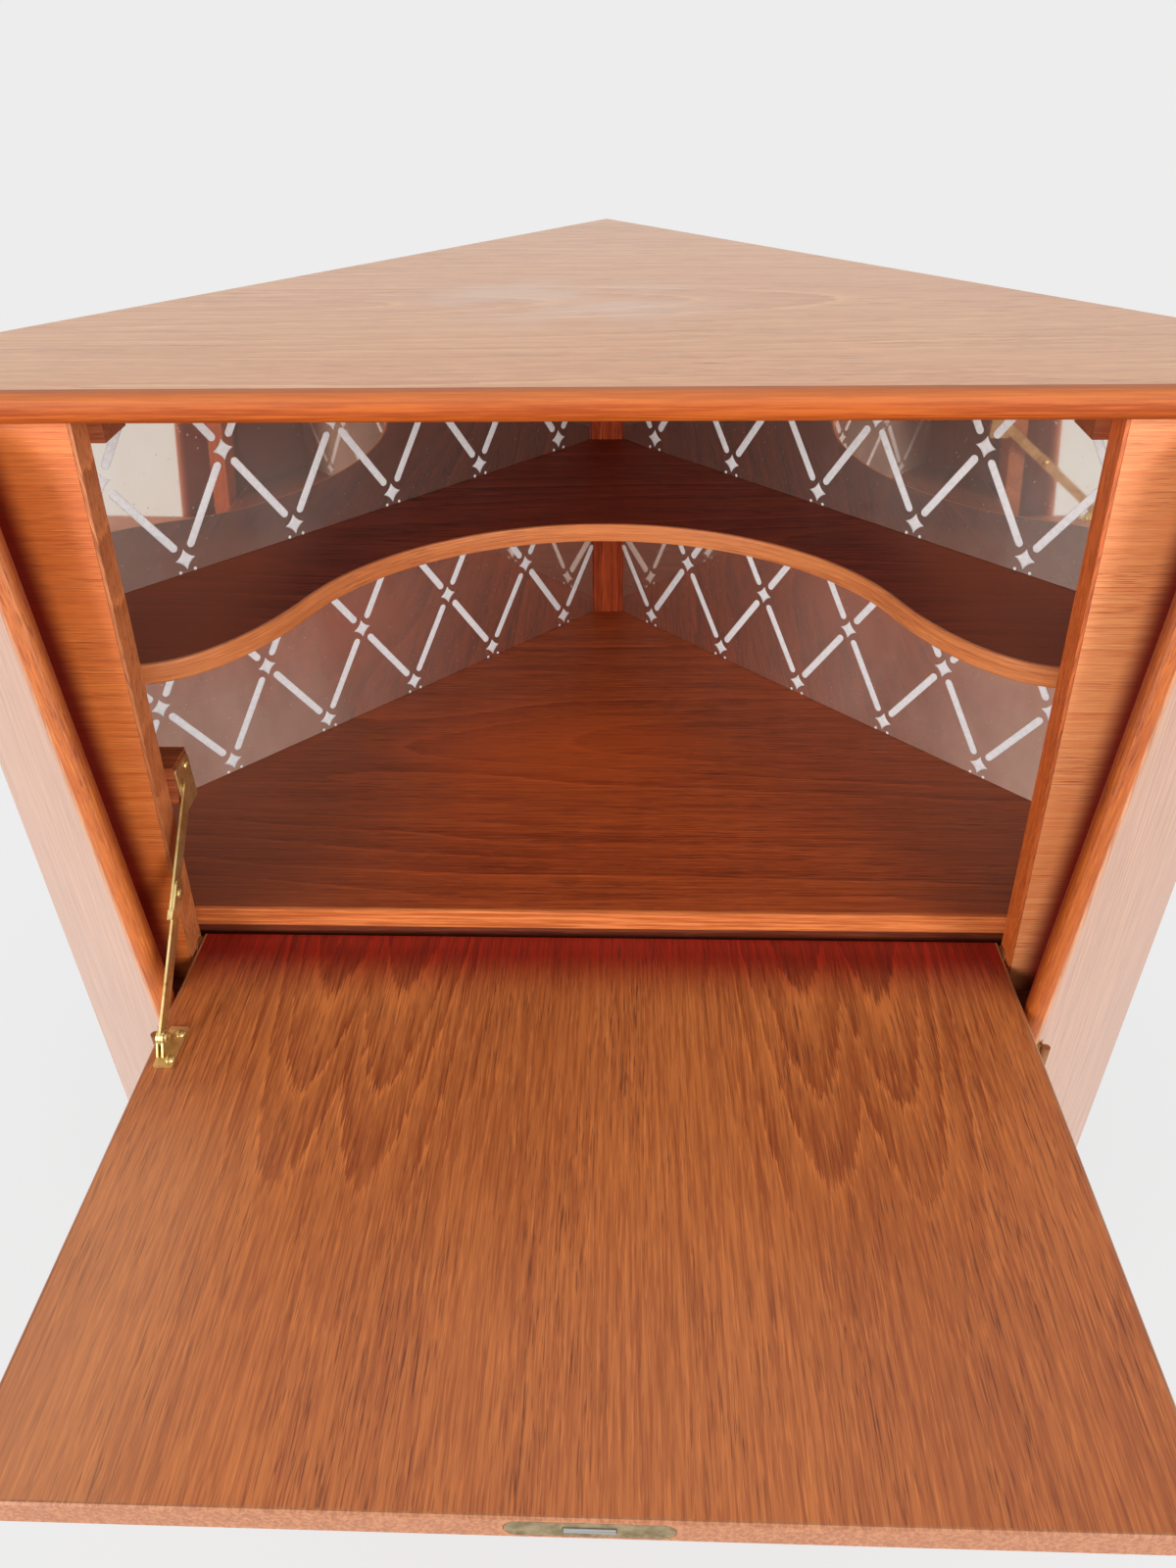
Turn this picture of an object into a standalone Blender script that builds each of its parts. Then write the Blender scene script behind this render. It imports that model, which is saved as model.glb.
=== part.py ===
"""Corner bar cabinet in teak: fall-front bar with mirrors above, two doors below.

Units are metres, +Z is up, +Y points into the corner of the room and the front faces -Y.
The cabinet is modelled round the room corner's vertical line (x = 0, y = 0, floor z = 0). One root
empty then moves it so that the origin lies under the middle of its box, with the flap open.
"""
from math import atan, atan2, ceil, cos, hypot, pi, radians, sin, sqrt, tan

import bmesh
import bpy
from mathutils import Vector

ROOT2 = sqrt(2)

# Carcass
HALF_WIDTH = 0.500        # the wall-side rear edge of each side board lies this far out
BAR_HEIGHT = 0.820        # floor to the top face of the bar floor
BAR_INSIDE = 0.4073       # bar floor to the underside of the top
BOARD_T = 0.019           # top and side boards
FLOOR_T = 0.018           # bar floor, bottom board and lower shelf
BACK_T = 0.004
MIRROR_T = 0.003
SEAT_GAP = 0.0003         # between pieces that touch
RUN_GAP = 0.0015          # round pieces that move
CUT_OVER = 0.002          # how far a cutter runs past the face it opens

# Top board
TOP_REACH = 0.080         # the front edge, in front of the side boards' rear edges
TOP_ROUND = 0.008

# Side board and its nose
NOSE_TANGENT = 0.209      # wall plane to the start of the nose, along the board, at bar floor level
NOSE_LEAN = radians(5.75)     # the front plane leans back by this
SHOULDER_R = 0.046        # the nose sweeps back under the top on this radius
DOOR_TOP_DROP = 0.055     # bar floor down to the tops of the lower doors
CARCASS_BOTTOM = 0.172    # floor to the underside of the bottom board

# Stiles
STILE_INSET = 0.1685      # opening's side, nearer the middle than the side boards' rear edges
STILE_REACH = 0.0965      # the face at bar floor level, in front of the side boards' rear edges
STILE_T = 0.022
LIPPING_T = 0.0025

# Bar floor, rails
FLOOR_REACH = 0.0682      # the front edge, in front of the side boards' rear edges
RAIL_DROP = 0.049         # bar floor down to the top face of the front rail, clear of the flap's swing
RAIL_T = 0.019
HINGE_RAIL_SET_BACK = 0.0032      # behind the bar floor's front edge
HINGE_RAIL_T = 0.014
EDGE_ROUND = 0.0012

# Mirrors' corner posts
POST_W = 0.0335
POST_FRONT = 0.0290       # corner line to the post's face

# Serpentine shelf
SHELF_TOP = 0.2103        # above the bar floor
SHELF_T = 0.017
SHELF_MIDDLE_SHARE = 0.528        # corner line to the front edge at the middle, as a share of the half width
SHELF_BEND_X_SHARE = 0.482        # where the serpentine turns from hollow to full
SHELF_BEND_Y_SHARE = 0.832
SHELF_END_X_SHARE = 0.702         # where the front edge becomes straight
SHELF_END_Y_SHARE = 1.062
SHELF_MIDDLE_PULL_SHARE = 0.234
SHELF_BEND_IN_SHARE = 0.172
SHELF_BEND_OUT_SHARE = 0.124
SHELF_END_PULL_SHARE = 0.092
SHELF_BEND_ANGLE = radians(70)
SHELF_STEPS = 12

# Stop blocks under the top
STOP_H = 0.025
STOP_DEPTH = 0.034
STOP_SHOW = 0.010         # it stands out past the stile by this
STOP_W = 0.032

# Flap
FLAP_T = 0.021
FLAP_LENGTH = 0.4423
FLAP_EDGE_GAP = 0.0041    # bar floor's front edge to the flap's hinge edge, open
FLAP_DROP = 0.0232        # bar floor down to the inner face at the hinge edge, open
FLAP_TILT = radians(1.08)     # the free edge stands this much above level, open
FLAP_ROUND = 0.0012
FLAP_PIVOT_DEPTH = 0.0055     # inner face to the pivot
FLAP_TRAVEL = pi / 2 - FLAP_TILT + NOSE_LEAN      # closed, it lies in the plane of the stiles

# Knife hinges
PIN_R = 0.0025
PIN_LENGTH = 0.011
PIN_GAP = 0.0002
FLANGE_R = 0.009
FLANGE_T = 0.0010
SPIGOT_R = 0.0035
SPIGOT_LENGTH = 0.010

# Folding stay, in the plane of the cabinet's depth
STAY_INSET = 0.0106       # side of the opening to the upper arm's inner face
STAY_EYE_V = 0.128        # hinge edge to the eye, along the flap
STAY_EYE_W = 0.0115       # eye above the flap's inner face
STAY_FOLD = 0.0262        # eye to the upper pivot, along the closed flap
ARM_T = 0.0018
ARM_W = 0.0125
ARM_TAIL = 0.0115         # lower arm past the joint
LUG_REACH = 0.022         # joint to the far end of the upper arm, which carries the stop lug
LUG_LENGTH = 0.0075
LUG_T = 0.0016
ARM_GAP = 0.0003
RIVET_R = 0.0019
RIVET_HEAD_R = 0.0042
RIVET_HEAD_H = 0.0022
RIVET_DOME_SHARE = 0.7        # of the head's height, where its dome turns in
BLOCK_TOP_UP = 0.137      # above the bar floor
BLOCK_H = 0.032
BLOCK_W = 0.030
BLOCK_DEPTH = 0.030
BRACKET_H = 0.040
BRACKET_W = 0.027
BRACKET_DROP = 0.003      # block top down to the bracket top
SCREW_R = 0.0038
SCREW_HEAD_H = 0.0018
SCREW_SHANK_R = 0.0017
SCREW_SHANK = 0.009
SCREW_DOME_SHARE = 0.7
PLATE_L = 0.040           # flap bracket, along the flap
PLATE_W = 0.0145
PLATE_T = 0.0018
EAR_T = 0.0014
EAR_TOP_R = 0.0062
EAR_FOOT_L = 0.024
PLATE_SCREW_SPAN = 0.025
EYE_PIN_R = 0.0019

# Lock
LOCK_X = 0.008            # the face plate's middle, right of the flap's middle
LOCK_PLATE_L = 0.090
LOCK_PLATE_H = 0.0145
LOCK_PLATE_T = 0.0016
LOCK_CASE_L = 0.062
LOCK_CASE_H = 0.0115
LOCK_CASE_DEPTH = 0.040
BOLT_L = 0.0275
BOLT_H = 0.0045
BOLT_DEPTH = 0.018
BOLT_TRAVEL = 0.011
BOLT_SHOW = 0.0006
KEYHOLE_INSET = 0.029     # the keyhole's centre, behind the free edge
KEYHOLE_R = 0.0055
LINING_R = 0.0052
LINING_BORE_R = 0.0038
LINING_DEPTH = 0.004
LINING_LIP_R = 0.0085
LINING_LIP_T = 0.0012
KEY_STEM_R = 0.0026
KEY_OUT = 0.030           # stem below the outer face
KEY_IN = 0.0045           # stem inside the flap
KEY_BOW_R = 0.0115
KEY_BOW_WIRE_R = 0.0022
KEY_COLLAR_SHARE = 1.7        # the collar's radius and its four levels, in stem radii
KEY_COLLAR_SHARES = (2, 2.6, 3.6, 4.2)
KEY_BOW_SIDES = 10
STRIKE_L = 0.058
STRIKE_W = 0.019
STRIKE_T = 0.0015
STRIKE_SLOT_GAP = 0.0018
STRIKE_DEPTH = 0.011

# Lower doors
DOOR_T = 0.019
DOOR_MEET_GAP = 0.0016
DOOR_CORNER_R = 0.004
DOOR_EDGE_GAP = 0.0006
DOOR_BOTTOM_UP = 0.004    # above the underside of the bottom board
DOOR_BACK_GAP = 0.0008
KNUCKLE_R = 0.0032
KNUCKLE_OUT = 0.004       # knuckle's centre outside the side board's face
HINGE_END_INSET = 0.006   # door end to the end of its long hinge
HINGE_KNUCKLES = 9
HINGE_LEAF_W = 0.016
HINGE_LEAF_T = 0.0012
HINGE_PIN_R = 0.0014
KNUCKLE_GAP = 0.0006
PULL_R = 0.0165
PULL_NECK_R = 0.0075
PULL_H = 0.024
PULL_INSET = 0.034        # meeting edge to the pull
PULL_DROP = 0.105         # door top to the pull
PULL_NECK_SHARE = 0.35        # of the pull's height, the neck's length
PULL_SHARES = ((0.86, 0.6), (1, 0.78), (0.9, 0.93), (0.5, 1))      # of its radius and height
CATCH_L = 0.086
CATCH_H = 0.013
CATCH_D = 0.017
CATCH_INSET = 0.024       # meeting edge to the middle of the plate on the door
CATCH_PLATE_T = 0.0012
CATCH_PLATE_L = 0.036
CATCH_PLATE_H = 0.012
CATCH_GAP = 0.0006

# Lower shelf
LOWER_SHELF_UP = 0.470    # floor to its top face
LOWER_SHELF_REACH = 0.060     # the front edge, in front of the side boards' rear edges

# Legs
LEG_TOP_R = 0.0190
LEG_FOOT_R = 0.0120
LEG_COLLAR_R = 0.0215
LEG_COLLAR_H = 0.010
LEG_FOOT_H = 0.006
LEG_INSET = 0.060
LEG_FOOT_SHARE = 0.85         # of the foot's radius, where it meets the floor
LEG_COLLAR_SHARE = 0.7        # of the collar's height, its upright part

# Smoothness
ROUND_SIDES = 20
SMALL_SIDES = 14
NOSE_STEPS = 5
ARC_STEPS = 7
SMOOTH_ANGLE = radians(35)

# Places worked out from the sizes above
SIDE_PLANE = 2 * HALF_WIDTH                     # |x| - y on the outer face of a side board
INNER_PLANE = SIDE_PLANE - ROOT2 * BOARD_T      # |x| - y on its inner face
TOP_UNDER = BAR_HEIGHT + BAR_INSIDE
TOP_FACE = TOP_UNDER + BOARD_T
MIRROR_FACE = BACK_T + SEAT_GAP + MIRROR_T      # wall plane to the mirrors' faces
TOP_FRONT = HALF_WIDTH + TOP_REACH              # fronts are counted from the corner line
STILE_IN = HALF_WIDTH - STILE_INSET             # half the opening
STILE_FRONT = HALF_WIDTH + STILE_REACH
STAY_X = STILE_IN - STAY_INSET                  # cabinet's middle to the upper arm's inner face
FLOOR_FRONT = HALF_WIDTH + FLOOR_REACH
HINGE_RAIL_FRONT = FLOOR_FRONT - HINGE_RAIL_SET_BACK
FLAP_EDGE = FLOOR_FRONT + FLAP_EDGE_GAP
LOWER_SHELF_FRONT = HALF_WIDTH + LOWER_SHELF_REACH
SHELF_END_Y = HALF_WIDTH * SHELF_END_Y_SHARE
DOOR_TOP = BAR_HEIGHT - DOOR_TOP_DROP
DOOR_BOTTOM = CARCASS_BOTTOM + DOOR_BOTTOM_UP
DOOR_FRONT = HALF_WIDTH + NOSE_TANGENT / ROOT2  # corner line to the doors' faces
BOTTOM_TOP = CARCASS_BOTTOM + FLOOR_T
LEAN_SLOPE = tan(NOSE_LEAN)
RAIL_TOP = BAR_HEIGHT - RAIL_DROP
RAIL_FRONT = DOOR_FRONT - DOOR_T - DOOR_BACK_GAP
STILE_BOTTOM = RAIL_TOP + SEAT_GAP
PIVOT_V = ((STILE_FRONT - FLAP_EDGE) * cos(NOSE_LEAN) + LEAN_SLOPE * FLAP_DROP
           - FLAP_T + FLAP_PIVOT_DEPTH * (1 + LEAN_SLOPE))
PIVOT_W = FLAP_T - FLAP_PIVOT_DEPTH
FLAP_HALF = STILE_IN - RUN_GAP

root = None


def clear_scene():
    """Remove what the file opened with."""
    for old in list(bpy.data.objects):
        bpy.data.objects.remove(old)


def material(name, colour, roughness, metallic=0.0):
    """A Principled material with a plain colour."""
    made = bpy.data.materials.new(name)
    made.use_nodes = True
    shader = made.node_tree.nodes["Principled BSDF"]
    shader.inputs["Base Color"].default_value = (*colour, 1)
    shader.inputs["Roughness"].default_value = roughness
    shader.inputs["Metallic"].default_value = metallic
    made.diffuse_color = (*colour, 1)
    return made


def empty(name, place, parent=None, turn=(0, 0, 0)):
    """An empty that stands on a joint's axis or at the root."""
    made = bpy.data.objects.new(name, None)
    bpy.context.collection.objects.link(made)
    made.location = place
    made.rotation_euler = turn
    made.parent = parent
    return made


def add(name, mesh, look, parent=None, place=(0, 0, 0), turn=(0, 0, 0), smooth=False):
    """Turn a bmesh into a named object with its material, hung on a parent empty."""
    bmesh.ops.recalc_face_normals(mesh, faces=mesh.faces[:])
    data = bpy.data.meshes.new(name)
    mesh.to_mesh(data)
    mesh.free()
    made = bpy.data.objects.new(name, data)
    bpy.context.collection.objects.link(made)
    if look:
        data.materials.append(look)
    made.parent = parent or root
    made.location = place
    made.rotation_euler = turn
    if smooth:
        data.shade_smooth()
        data.set_sharp_from_angle(angle=SMOOTH_ANGLE)
    return made


def boolean(target, tool, operation):
    """Apply another object to this one with the EXACT solver."""
    step = target.modifiers.new(operation.title(), "BOOLEAN")
    step.operation = operation
    step.solver = "EXACT"
    step.object = tool
    tool.hide_render = True
    tool.display_type = "WIRE"


def cut(target, name, mesh, parent=None, place=(0, 0, 0)):
    """Cut a mesh out of an object."""
    boolean(target, add(name, mesh, None, parent, place), "DIFFERENCE")


def join(target, name, mesh, parent=None, place=(0, 0, 0)):
    """Make a mesh part of an object."""
    boolean(target, add(name, mesh, None, parent, place), "UNION")


def word_of(side):
    """The side's word in a name."""
    return "right" if side > 0 else "left"


def same(*pairs):
    """Whether the two lengths of every pair are the same place."""
    return all(abs(a - b) < SEAT_GAP for a, b in pairs)


def prism(outline, low, high, axis="Z"):
    """A closed prism on an outline. The axis letter says which way it is long."""

    def place(a, b, c):
        return {"X": (c, a, b), "Y": (a, c, b), "Z": (a, b, c)}[axis]

    mesh = bmesh.new()
    ends = [[mesh.verts.new(place(a, b, level)) for a, b in outline] for level in (low, high)]
    mesh.faces.new(ends[0][::-1])
    mesh.faces.new(ends[1])
    count = len(outline)
    for i in range(count):
        j = (i + 1) % count
        mesh.faces.new((ends[0][i], ends[0][j], ends[1][j], ends[1][i]))
    return mesh


def box(x, y, z):
    """A box from three (low, high) pairs."""
    return prism([(x[0], y[0]), (x[1], y[0]), (x[1], y[1]), (x[0], y[1])], z[0], z[1])


def mirrored(outline, side):
    """An outline of the right half for side 1, and of the left half for side -1."""
    return [(side * x, y) for x, y in outline][::side]


def arc(centre, radius, start, end, steps):
    """Points on an arc, both ends included; radius may be a pair for an ellipse."""
    rx, ry = radius if isinstance(radius, tuple) else (radius, radius)
    turns = [start + (end - start) * i / steps for i in range(steps + 1)]
    return [(centre[0] + rx * cos(t), centre[1] + ry * sin(t)) for t in turns]


def turned(profile, sides, axis="Z", centre=(0, 0, 0)):
    """A solid of revolution from (radius, height) pairs whose two ends lie on the axis or close flat."""
    mesh = bmesh.new()
    rings = []
    for radius, height in profile:
        ring = []
        for i in range(sides):
            a = 2 * pi * i / sides
            p, q = radius * cos(a), radius * sin(a)
            spot = {"X": (height, p, q), "Y": (p, height, q), "Z": (p, q, height)}[axis]
            ring.append(mesh.verts.new(Vector(centre) + Vector(spot)))
        rings.append(ring)
    mesh.faces.new(rings[0])
    mesh.faces.new(rings[-1][::-1])
    for low, high in zip(rings, rings[1:]):
        for i in range(sides):
            j = (i + 1) % sides
            mesh.faces.new((low[i], low[j], high[j], high[i]))
    return mesh


def cylinder(radius, low, high, axis="Z", centre=(0, 0, 0)):
    """A small round bar or bore between two levels on its axis."""
    return turned([(radius, low), (radius, high)], SMALL_SIDES, axis, centre)


def merged(*parts):
    """Several closed meshes as one bmesh of separate solids."""
    joined = bmesh.new()
    for part in parts:
        data = bpy.data.meshes.new("part")
        part.to_mesh(data)
        part.free()
        joined.from_mesh(data)
        bpy.data.meshes.remove(data)
    return joined


def round_edges(mesh, wanted, radius, steps):
    """Round the edges that a test picks out."""
    bmesh.ops.recalc_face_normals(mesh, faces=mesh.faces[:])
    picked = [edge for edge in mesh.edges if wanted(*(vert.co for vert in edge.verts))]
    bmesh.ops.bevel(mesh, geom=picked, offset=radius, offset_type="OFFSET", segments=steps,
                    profile=0.5, affect="EDGES", clamp_overlap=True)
    return mesh


def wall_line(offset, x):
    """Depth of a point at x on the plane that lies offset in front of a wall plane."""
    return -x - ROOT2 * offset


def five_sided(offset, plane, front):
    """Plan of a board between the walls, the side boards and a straight front edge."""
    reach = (plane - ROOT2 * offset) / 2
    rear = wall_line(offset, reach)
    half = [(0, wall_line(offset, 0)), (reach, rear), (plane - front, -front)]
    return half + [(-x, y) for x, y in half[:0:-1]]


def stile_face(height):
    """Depth of the stiles' leaning faces at a height above the bar floor."""
    return -STILE_FRONT + LEAN_SLOPE * height


def make_top(teak):
    """Top board over the sides and backs, with a rounded front edge."""
    mesh = prism(five_sided(0, SIDE_PLANE, TOP_FRONT), TOP_UNDER, TOP_FACE)

    def at_front(a, b):
        return same((a.y, -TOP_FRONT), (b.y, -TOP_FRONT), (a.z, b.z))

    round_edges(mesh, at_front, TOP_ROUND, NOSE_STEPS)
    top = add("top_panel", mesh, teak, smooth=True)
    slot_y = bolt_closed_y()
    cut(top, "top_slot_cutter", bolt_slot(slot_y, TOP_UNDER + STRIKE_DEPTH))
    half_x, half_y = STRIKE_L / 2 + SEAT_GAP, STRIKE_W / 2 + SEAT_GAP
    cut(top, "strike_recess_cutter",
        box((LOCK_X - half_x, LOCK_X + half_x), (slot_y - half_y, slot_y + half_y),
            (TOP_UNDER - CUT_OVER, TOP_UNDER + STRIKE_T + SEAT_GAP)))


def bolt_slot(slot_y, top):
    """Room for the thrown bolt, from under the top board up to a level."""
    half_x, half_y = BOLT_L / 2 + STRIKE_SLOT_GAP, BOLT_H / 2 + STRIKE_SLOT_GAP
    return box((LOCK_X - half_x, LOCK_X + half_x), (slot_y - half_y, slot_y + half_y),
               (TOP_UNDER - CUT_OVER, top))


def make_strike(brass):
    """Strike plate let into the underside of the top, with the bolt's slot."""
    slot_y = bolt_closed_y()
    plate = add("strike_plate", box((LOCK_X - STRIKE_L / 2, LOCK_X + STRIKE_L / 2),
                                    (slot_y - STRIKE_W / 2, slot_y + STRIKE_W / 2),
                                    (TOP_UNDER, TOP_UNDER + STRIKE_T)), brass)
    cut(plate, "strike_slot_cutter", bolt_slot(slot_y, TOP_UNDER + STRIKE_T + CUT_OVER))


def side_outline(inset):
    """Side board seen from outside, as (distance from the wall plane, height) round its edge.

    The nose lies inset behind its foremost line, which shapes its round across the thickness.
    """
    run = ROOT2 * LEAN_SLOPE
    lean = atan(run)
    step = DOOR_TOP + DOOR_EDGE_GAP
    door_line = NOSE_TANGENT
    tip = NOSE_TANGENT + BOARD_T / 2
    top = TOP_UNDER - SEAT_GAP
    top_front = (TOP_FRONT - HALF_WIDTH) * ROOT2 - TOP_ROUND
    centre = top - SHOULDER_R
    centre_run = tip - run * (centre + SHOULDER_R * sin(lean) - BAR_HEIGHT) - SHOULDER_R * cos(lean)
    shoulder = arc((centre_run, centre), SHOULDER_R - inset, lean, pi / 2, ARC_STEPS)
    low = tip - run * (step - BAR_HEIGHT) - inset
    front = [(0, CARCASS_BOTTOM), (door_line, CARCASS_BOTTOM), (door_line, step), (low, step)]
    return front + shoulder + [(top_front, top - inset), (top_front - TOP_ROUND, top), (0, top)]


def make_side(side, teak):
    """Side board, square to the wall, with its full round nose."""
    mesh = bmesh.new()
    layers = []
    for i in range(2 * NOSE_STEPS + 1):
        turn = pi * i / (2 * NOSE_STEPS)
        depth = BOARD_T / 2 * (1 - cos(turn))
        layer = []
        for s, z in side_outline(BOARD_T / 2 * (1 - sin(turn))):
            x, y = HALF_WIDTH - (depth + s) / ROOT2, -HALF_WIDTH + (depth - s) / ROOT2
            layer.append(mesh.verts.new((side * x, y, z)))
        layers.append(layer)
    mesh.faces.new(layers[0])
    mesh.faces.new(layers[-1][::-1])
    for near, far in zip(layers, layers[1:]):
        for i in range(len(near)):
            j = (i + 1) % len(near)
            mesh.faces.new((near[i], near[j], far[j], far[i]))
    return add(f"side_panel_{word_of(side)}", mesh, teak, smooth=True)


def make_stile(side, teak, lipping):
    """Leaning front stile between the side board and the opening, and its lipping."""
    levels = (STILE_BOTTOM, TOP_UNDER - SEAT_GAP)
    outer = INNER_PLANE - ROOT2 * SEAT_GAP
    lip_in = STILE_IN + LIPPING_T
    for name, inner, is_lip, look in (("stile", lip_in + SEAT_GAP, False, teak),
                                      ("stile_lipping", STILE_IN, True, lipping)):
        mesh = bmesh.new()
        rings = []
        for z in levels:
            front = stile_face(z - BAR_HEIGHT)
            back = front + STILE_T
            ends = (lip_in, lip_in) if is_lip else (outer + front, outer + back)
            plan = [(inner, front), (ends[0], front), (ends[1], back), (inner, back)]
            rings.append([mesh.verts.new((side * x, y, z)) for x, y in plan])
        mesh.faces.new(rings[0])
        mesh.faces.new(rings[1][::-1])
        for i in range(4):
            j = (i + 1) % 4
            mesh.faces.new((rings[0][i], rings[0][j], rings[1][j], rings[1][i]))
        made = add(f"{name}_{word_of(side)}", mesh, look)
        height, depth, _ = flap_pivot()
        end = lip_in + CUT_OVER if is_lip else STILE_IN + SPIGOT_LENGTH + SEAT_GAP
        cut(made, f"{name}_bore_{side}", cylinder(SPIGOT_R + SEAT_GAP, side * (STILE_IN - CUT_OVER),
                                                  side * end, "X", (0, depth, height)))


def wall_board(near, far, low, high, side, end_plane):
    """A board along one wall, from the mitred corner to the side board."""

    def at(plane, offset):
        x = (plane - ROOT2 * offset) / 2
        return (x, wall_line(offset, x))

    plan = [(SEAT_GAP, wall_line(near, SEAT_GAP)), at(end_plane, near), at(end_plane, far),
            (SEAT_GAP, wall_line(far, SEAT_GAP))]
    return prism(mirrored(plan, side), low, high)


def make_backs(plywood, glass):
    """Back panels along both walls, and the two tiers of mirrors in front of them."""
    end = INNER_PLANE - ROOT2 * SEAT_GAP
    shelf_top = BAR_HEIGHT + SHELF_TOP
    tiers = {"lower": (BAR_HEIGHT + SEAT_GAP, shelf_top - SHELF_T - SEAT_GAP),
             "upper": (shelf_top + SEAT_GAP, TOP_UNDER - SEAT_GAP)}
    for side, word in ((-1, "left"), (1, "right")):
        mesh = wall_board(0, BACK_T, CARCASS_BOTTOM, TOP_UNDER - SEAT_GAP, side, end)
        add(f"back_panel_{word}", mesh, plywood)
        for tier, (low, high) in tiers.items():
            mesh = wall_board(BACK_T + SEAT_GAP, MIRROR_FACE, low, high, side, end)
            add(f"mirror_{tier}_{word}", mesh, glass)
    half = POST_W / 2
    rear = MIRROR_FACE + SEAT_GAP
    plan = [(-half, -POST_FRONT), (half, -POST_FRONT), (half, wall_line(rear, half)),
            (0, wall_line(rear, 0)), (-half, wall_line(rear, half))]
    return plan, tiers


def make_posts(plan, tiers, teak):
    """Corner posts over the mirrors' joint, one in each tier."""
    for tier, (low, high) in tiers.items():
        mesh = prism(plan, low, high)

        def front_corner(a, b):
            return same((a.y, -POST_FRONT), (b.y, -POST_FRONT), (a.x, b.x))

        round_edges(mesh, front_corner, EDGE_ROUND, 2)
        add(f"corner_post_{tier}", mesh, teak)


def make_floors(teak):
    """Bar floor, hinge rail, front rail and bottom board."""
    behind = BACK_T + SEAT_GAP
    between = INNER_PLANE - ROOT2 * SEAT_GAP

    def front_edge(depth):
        def test(a, b):
            return same((a.z, b.z), (a.y, -depth), (b.y, -depth))
        return test

    floor = prism(five_sided(behind, between, FLOOR_FRONT), BAR_HEIGHT - FLOOR_T, BAR_HEIGHT)
    add("bar_floor", round_edges(floor, front_edge(FLOOR_FRONT), EDGE_ROUND, 2), teak)
    half = between - HINGE_RAIL_FRONT
    add("hinge_rail", box((-half, half), (-HINGE_RAIL_FRONT, -HINGE_RAIL_FRONT + HINGE_RAIL_T),
                          (RAIL_TOP + SEAT_GAP, BAR_HEIGHT - FLOOR_T - SEAT_GAP)), teak)
    rear = HINGE_RAIL_FRONT - HINGE_RAIL_T
    plan = [(-(between - rear), -rear), (-(between - RAIL_FRONT), -RAIL_FRONT),
            (between - RAIL_FRONT, -RAIL_FRONT), (between - rear, -rear)]
    rail = prism(plan, RAIL_TOP - RAIL_T, RAIL_TOP)
    add("front_rail", round_edges(rail, front_edge(RAIL_FRONT), EDGE_ROUND, 2), teak)
    bottom = prism(five_sided(behind, between, RAIL_FRONT), CARCASS_BOTTOM, BOTTOM_TOP)
    add("bottom_board", round_edges(bottom, front_edge(RAIL_FRONT), EDGE_ROUND, 2), teak)


def curve(start, pull_start, pull_end, end, steps):
    """Points on a cubic curve, without its last one."""
    points = []
    for i in range(steps):
        t = i / steps
        weights = ((1 - t) ** 3, 3 * (1 - t) ** 2 * t, 3 * (1 - t) * t ** 2, t ** 3)
        pulls = list(zip(weights, (start, pull_start, pull_end, end)))
        points.append(tuple(sum(weight * pull[k] for weight, pull in pulls) for k in range(2)))
    return points


def shelf_front():
    """Right half of the serpentine edge, from the middle outwards."""
    whole = HALF_WIDTH
    middle = (0, -whole * SHELF_MIDDLE_SHARE)
    bend = (whole * SHELF_BEND_X_SHARE, -whole * SHELF_BEND_Y_SHARE)
    end = (whole * SHELF_END_X_SHARE, -SHELF_END_Y)
    way = (whole * cos(SHELF_BEND_ANGLE), -whole * sin(SHELF_BEND_ANGLE))
    near = (bend[0] - way[0] * SHELF_BEND_IN_SHARE, bend[1] - way[1] * SHELF_BEND_IN_SHARE)
    far = (bend[0] + way[0] * SHELF_BEND_OUT_SHARE, bend[1] + way[1] * SHELF_BEND_OUT_SHARE)
    first = curve(middle, (whole * SHELF_MIDDLE_PULL_SHARE, middle[1]), near, bend, SHELF_STEPS)
    second = curve(bend, far, (end[0] - whole * SHELF_END_PULL_SHARE, end[1]), end, SHELF_STEPS)
    return first + second + [end]


def make_shelf(teak):
    """Serpentine shelf between the mirrors' tiers and the side boards."""
    behind = BACK_T + SEAT_GAP
    between = INNER_PLANE - ROOT2 * SEAT_GAP
    reach = (between - ROOT2 * behind) / 2
    right = shelf_front() + [(between - SHELF_END_Y, -SHELF_END_Y), (reach, wall_line(behind, reach))]
    plan = right + [(0, wall_line(behind, 0))] + [(-x, y) for x, y in right[:0:-1]]
    top = BAR_HEIGHT + SHELF_TOP
    add("shelf", prism(plan, top - SHELF_T, top), teak)


def make_stops(teak):
    """Stop blocks under the top, where the closed flap comes to rest."""
    top = TOP_UNDER - SEAT_GAP
    back_of_flap = STILE_FRONT - FLAP_T / cos(NOSE_LEAN) - RUN_GAP / 2
    for side, word in ((-1, "left"), (1, "right")):
        front = [-back_of_flap + LEAN_SLOPE * (z - BAR_HEIGHT) for z in (top - STOP_H, top)]
        rear = front[1] + STOP_DEPTH
        outline = [(front[0], top - STOP_H), (rear, top - STOP_H), (rear, top), (front[1], top)]
        inner = STILE_IN - STOP_SHOW
        low, high = sorted((side * inner, side * (inner + STOP_W)))
        stile_back = -STILE_FRONT + STILE_T
        behind = [stile_back + SEAT_GAP + LEAN_SLOPE * (z - BAR_HEIGHT) for z in (top - STOP_H, top)]
        shift = max(b - f for b, f in zip(behind, front))
        outline = [(y + max(0, shift), z) for y, z in outline]
        add(f"stop_block_{word}", prism(outline, low, high, "X"), teak)


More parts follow.
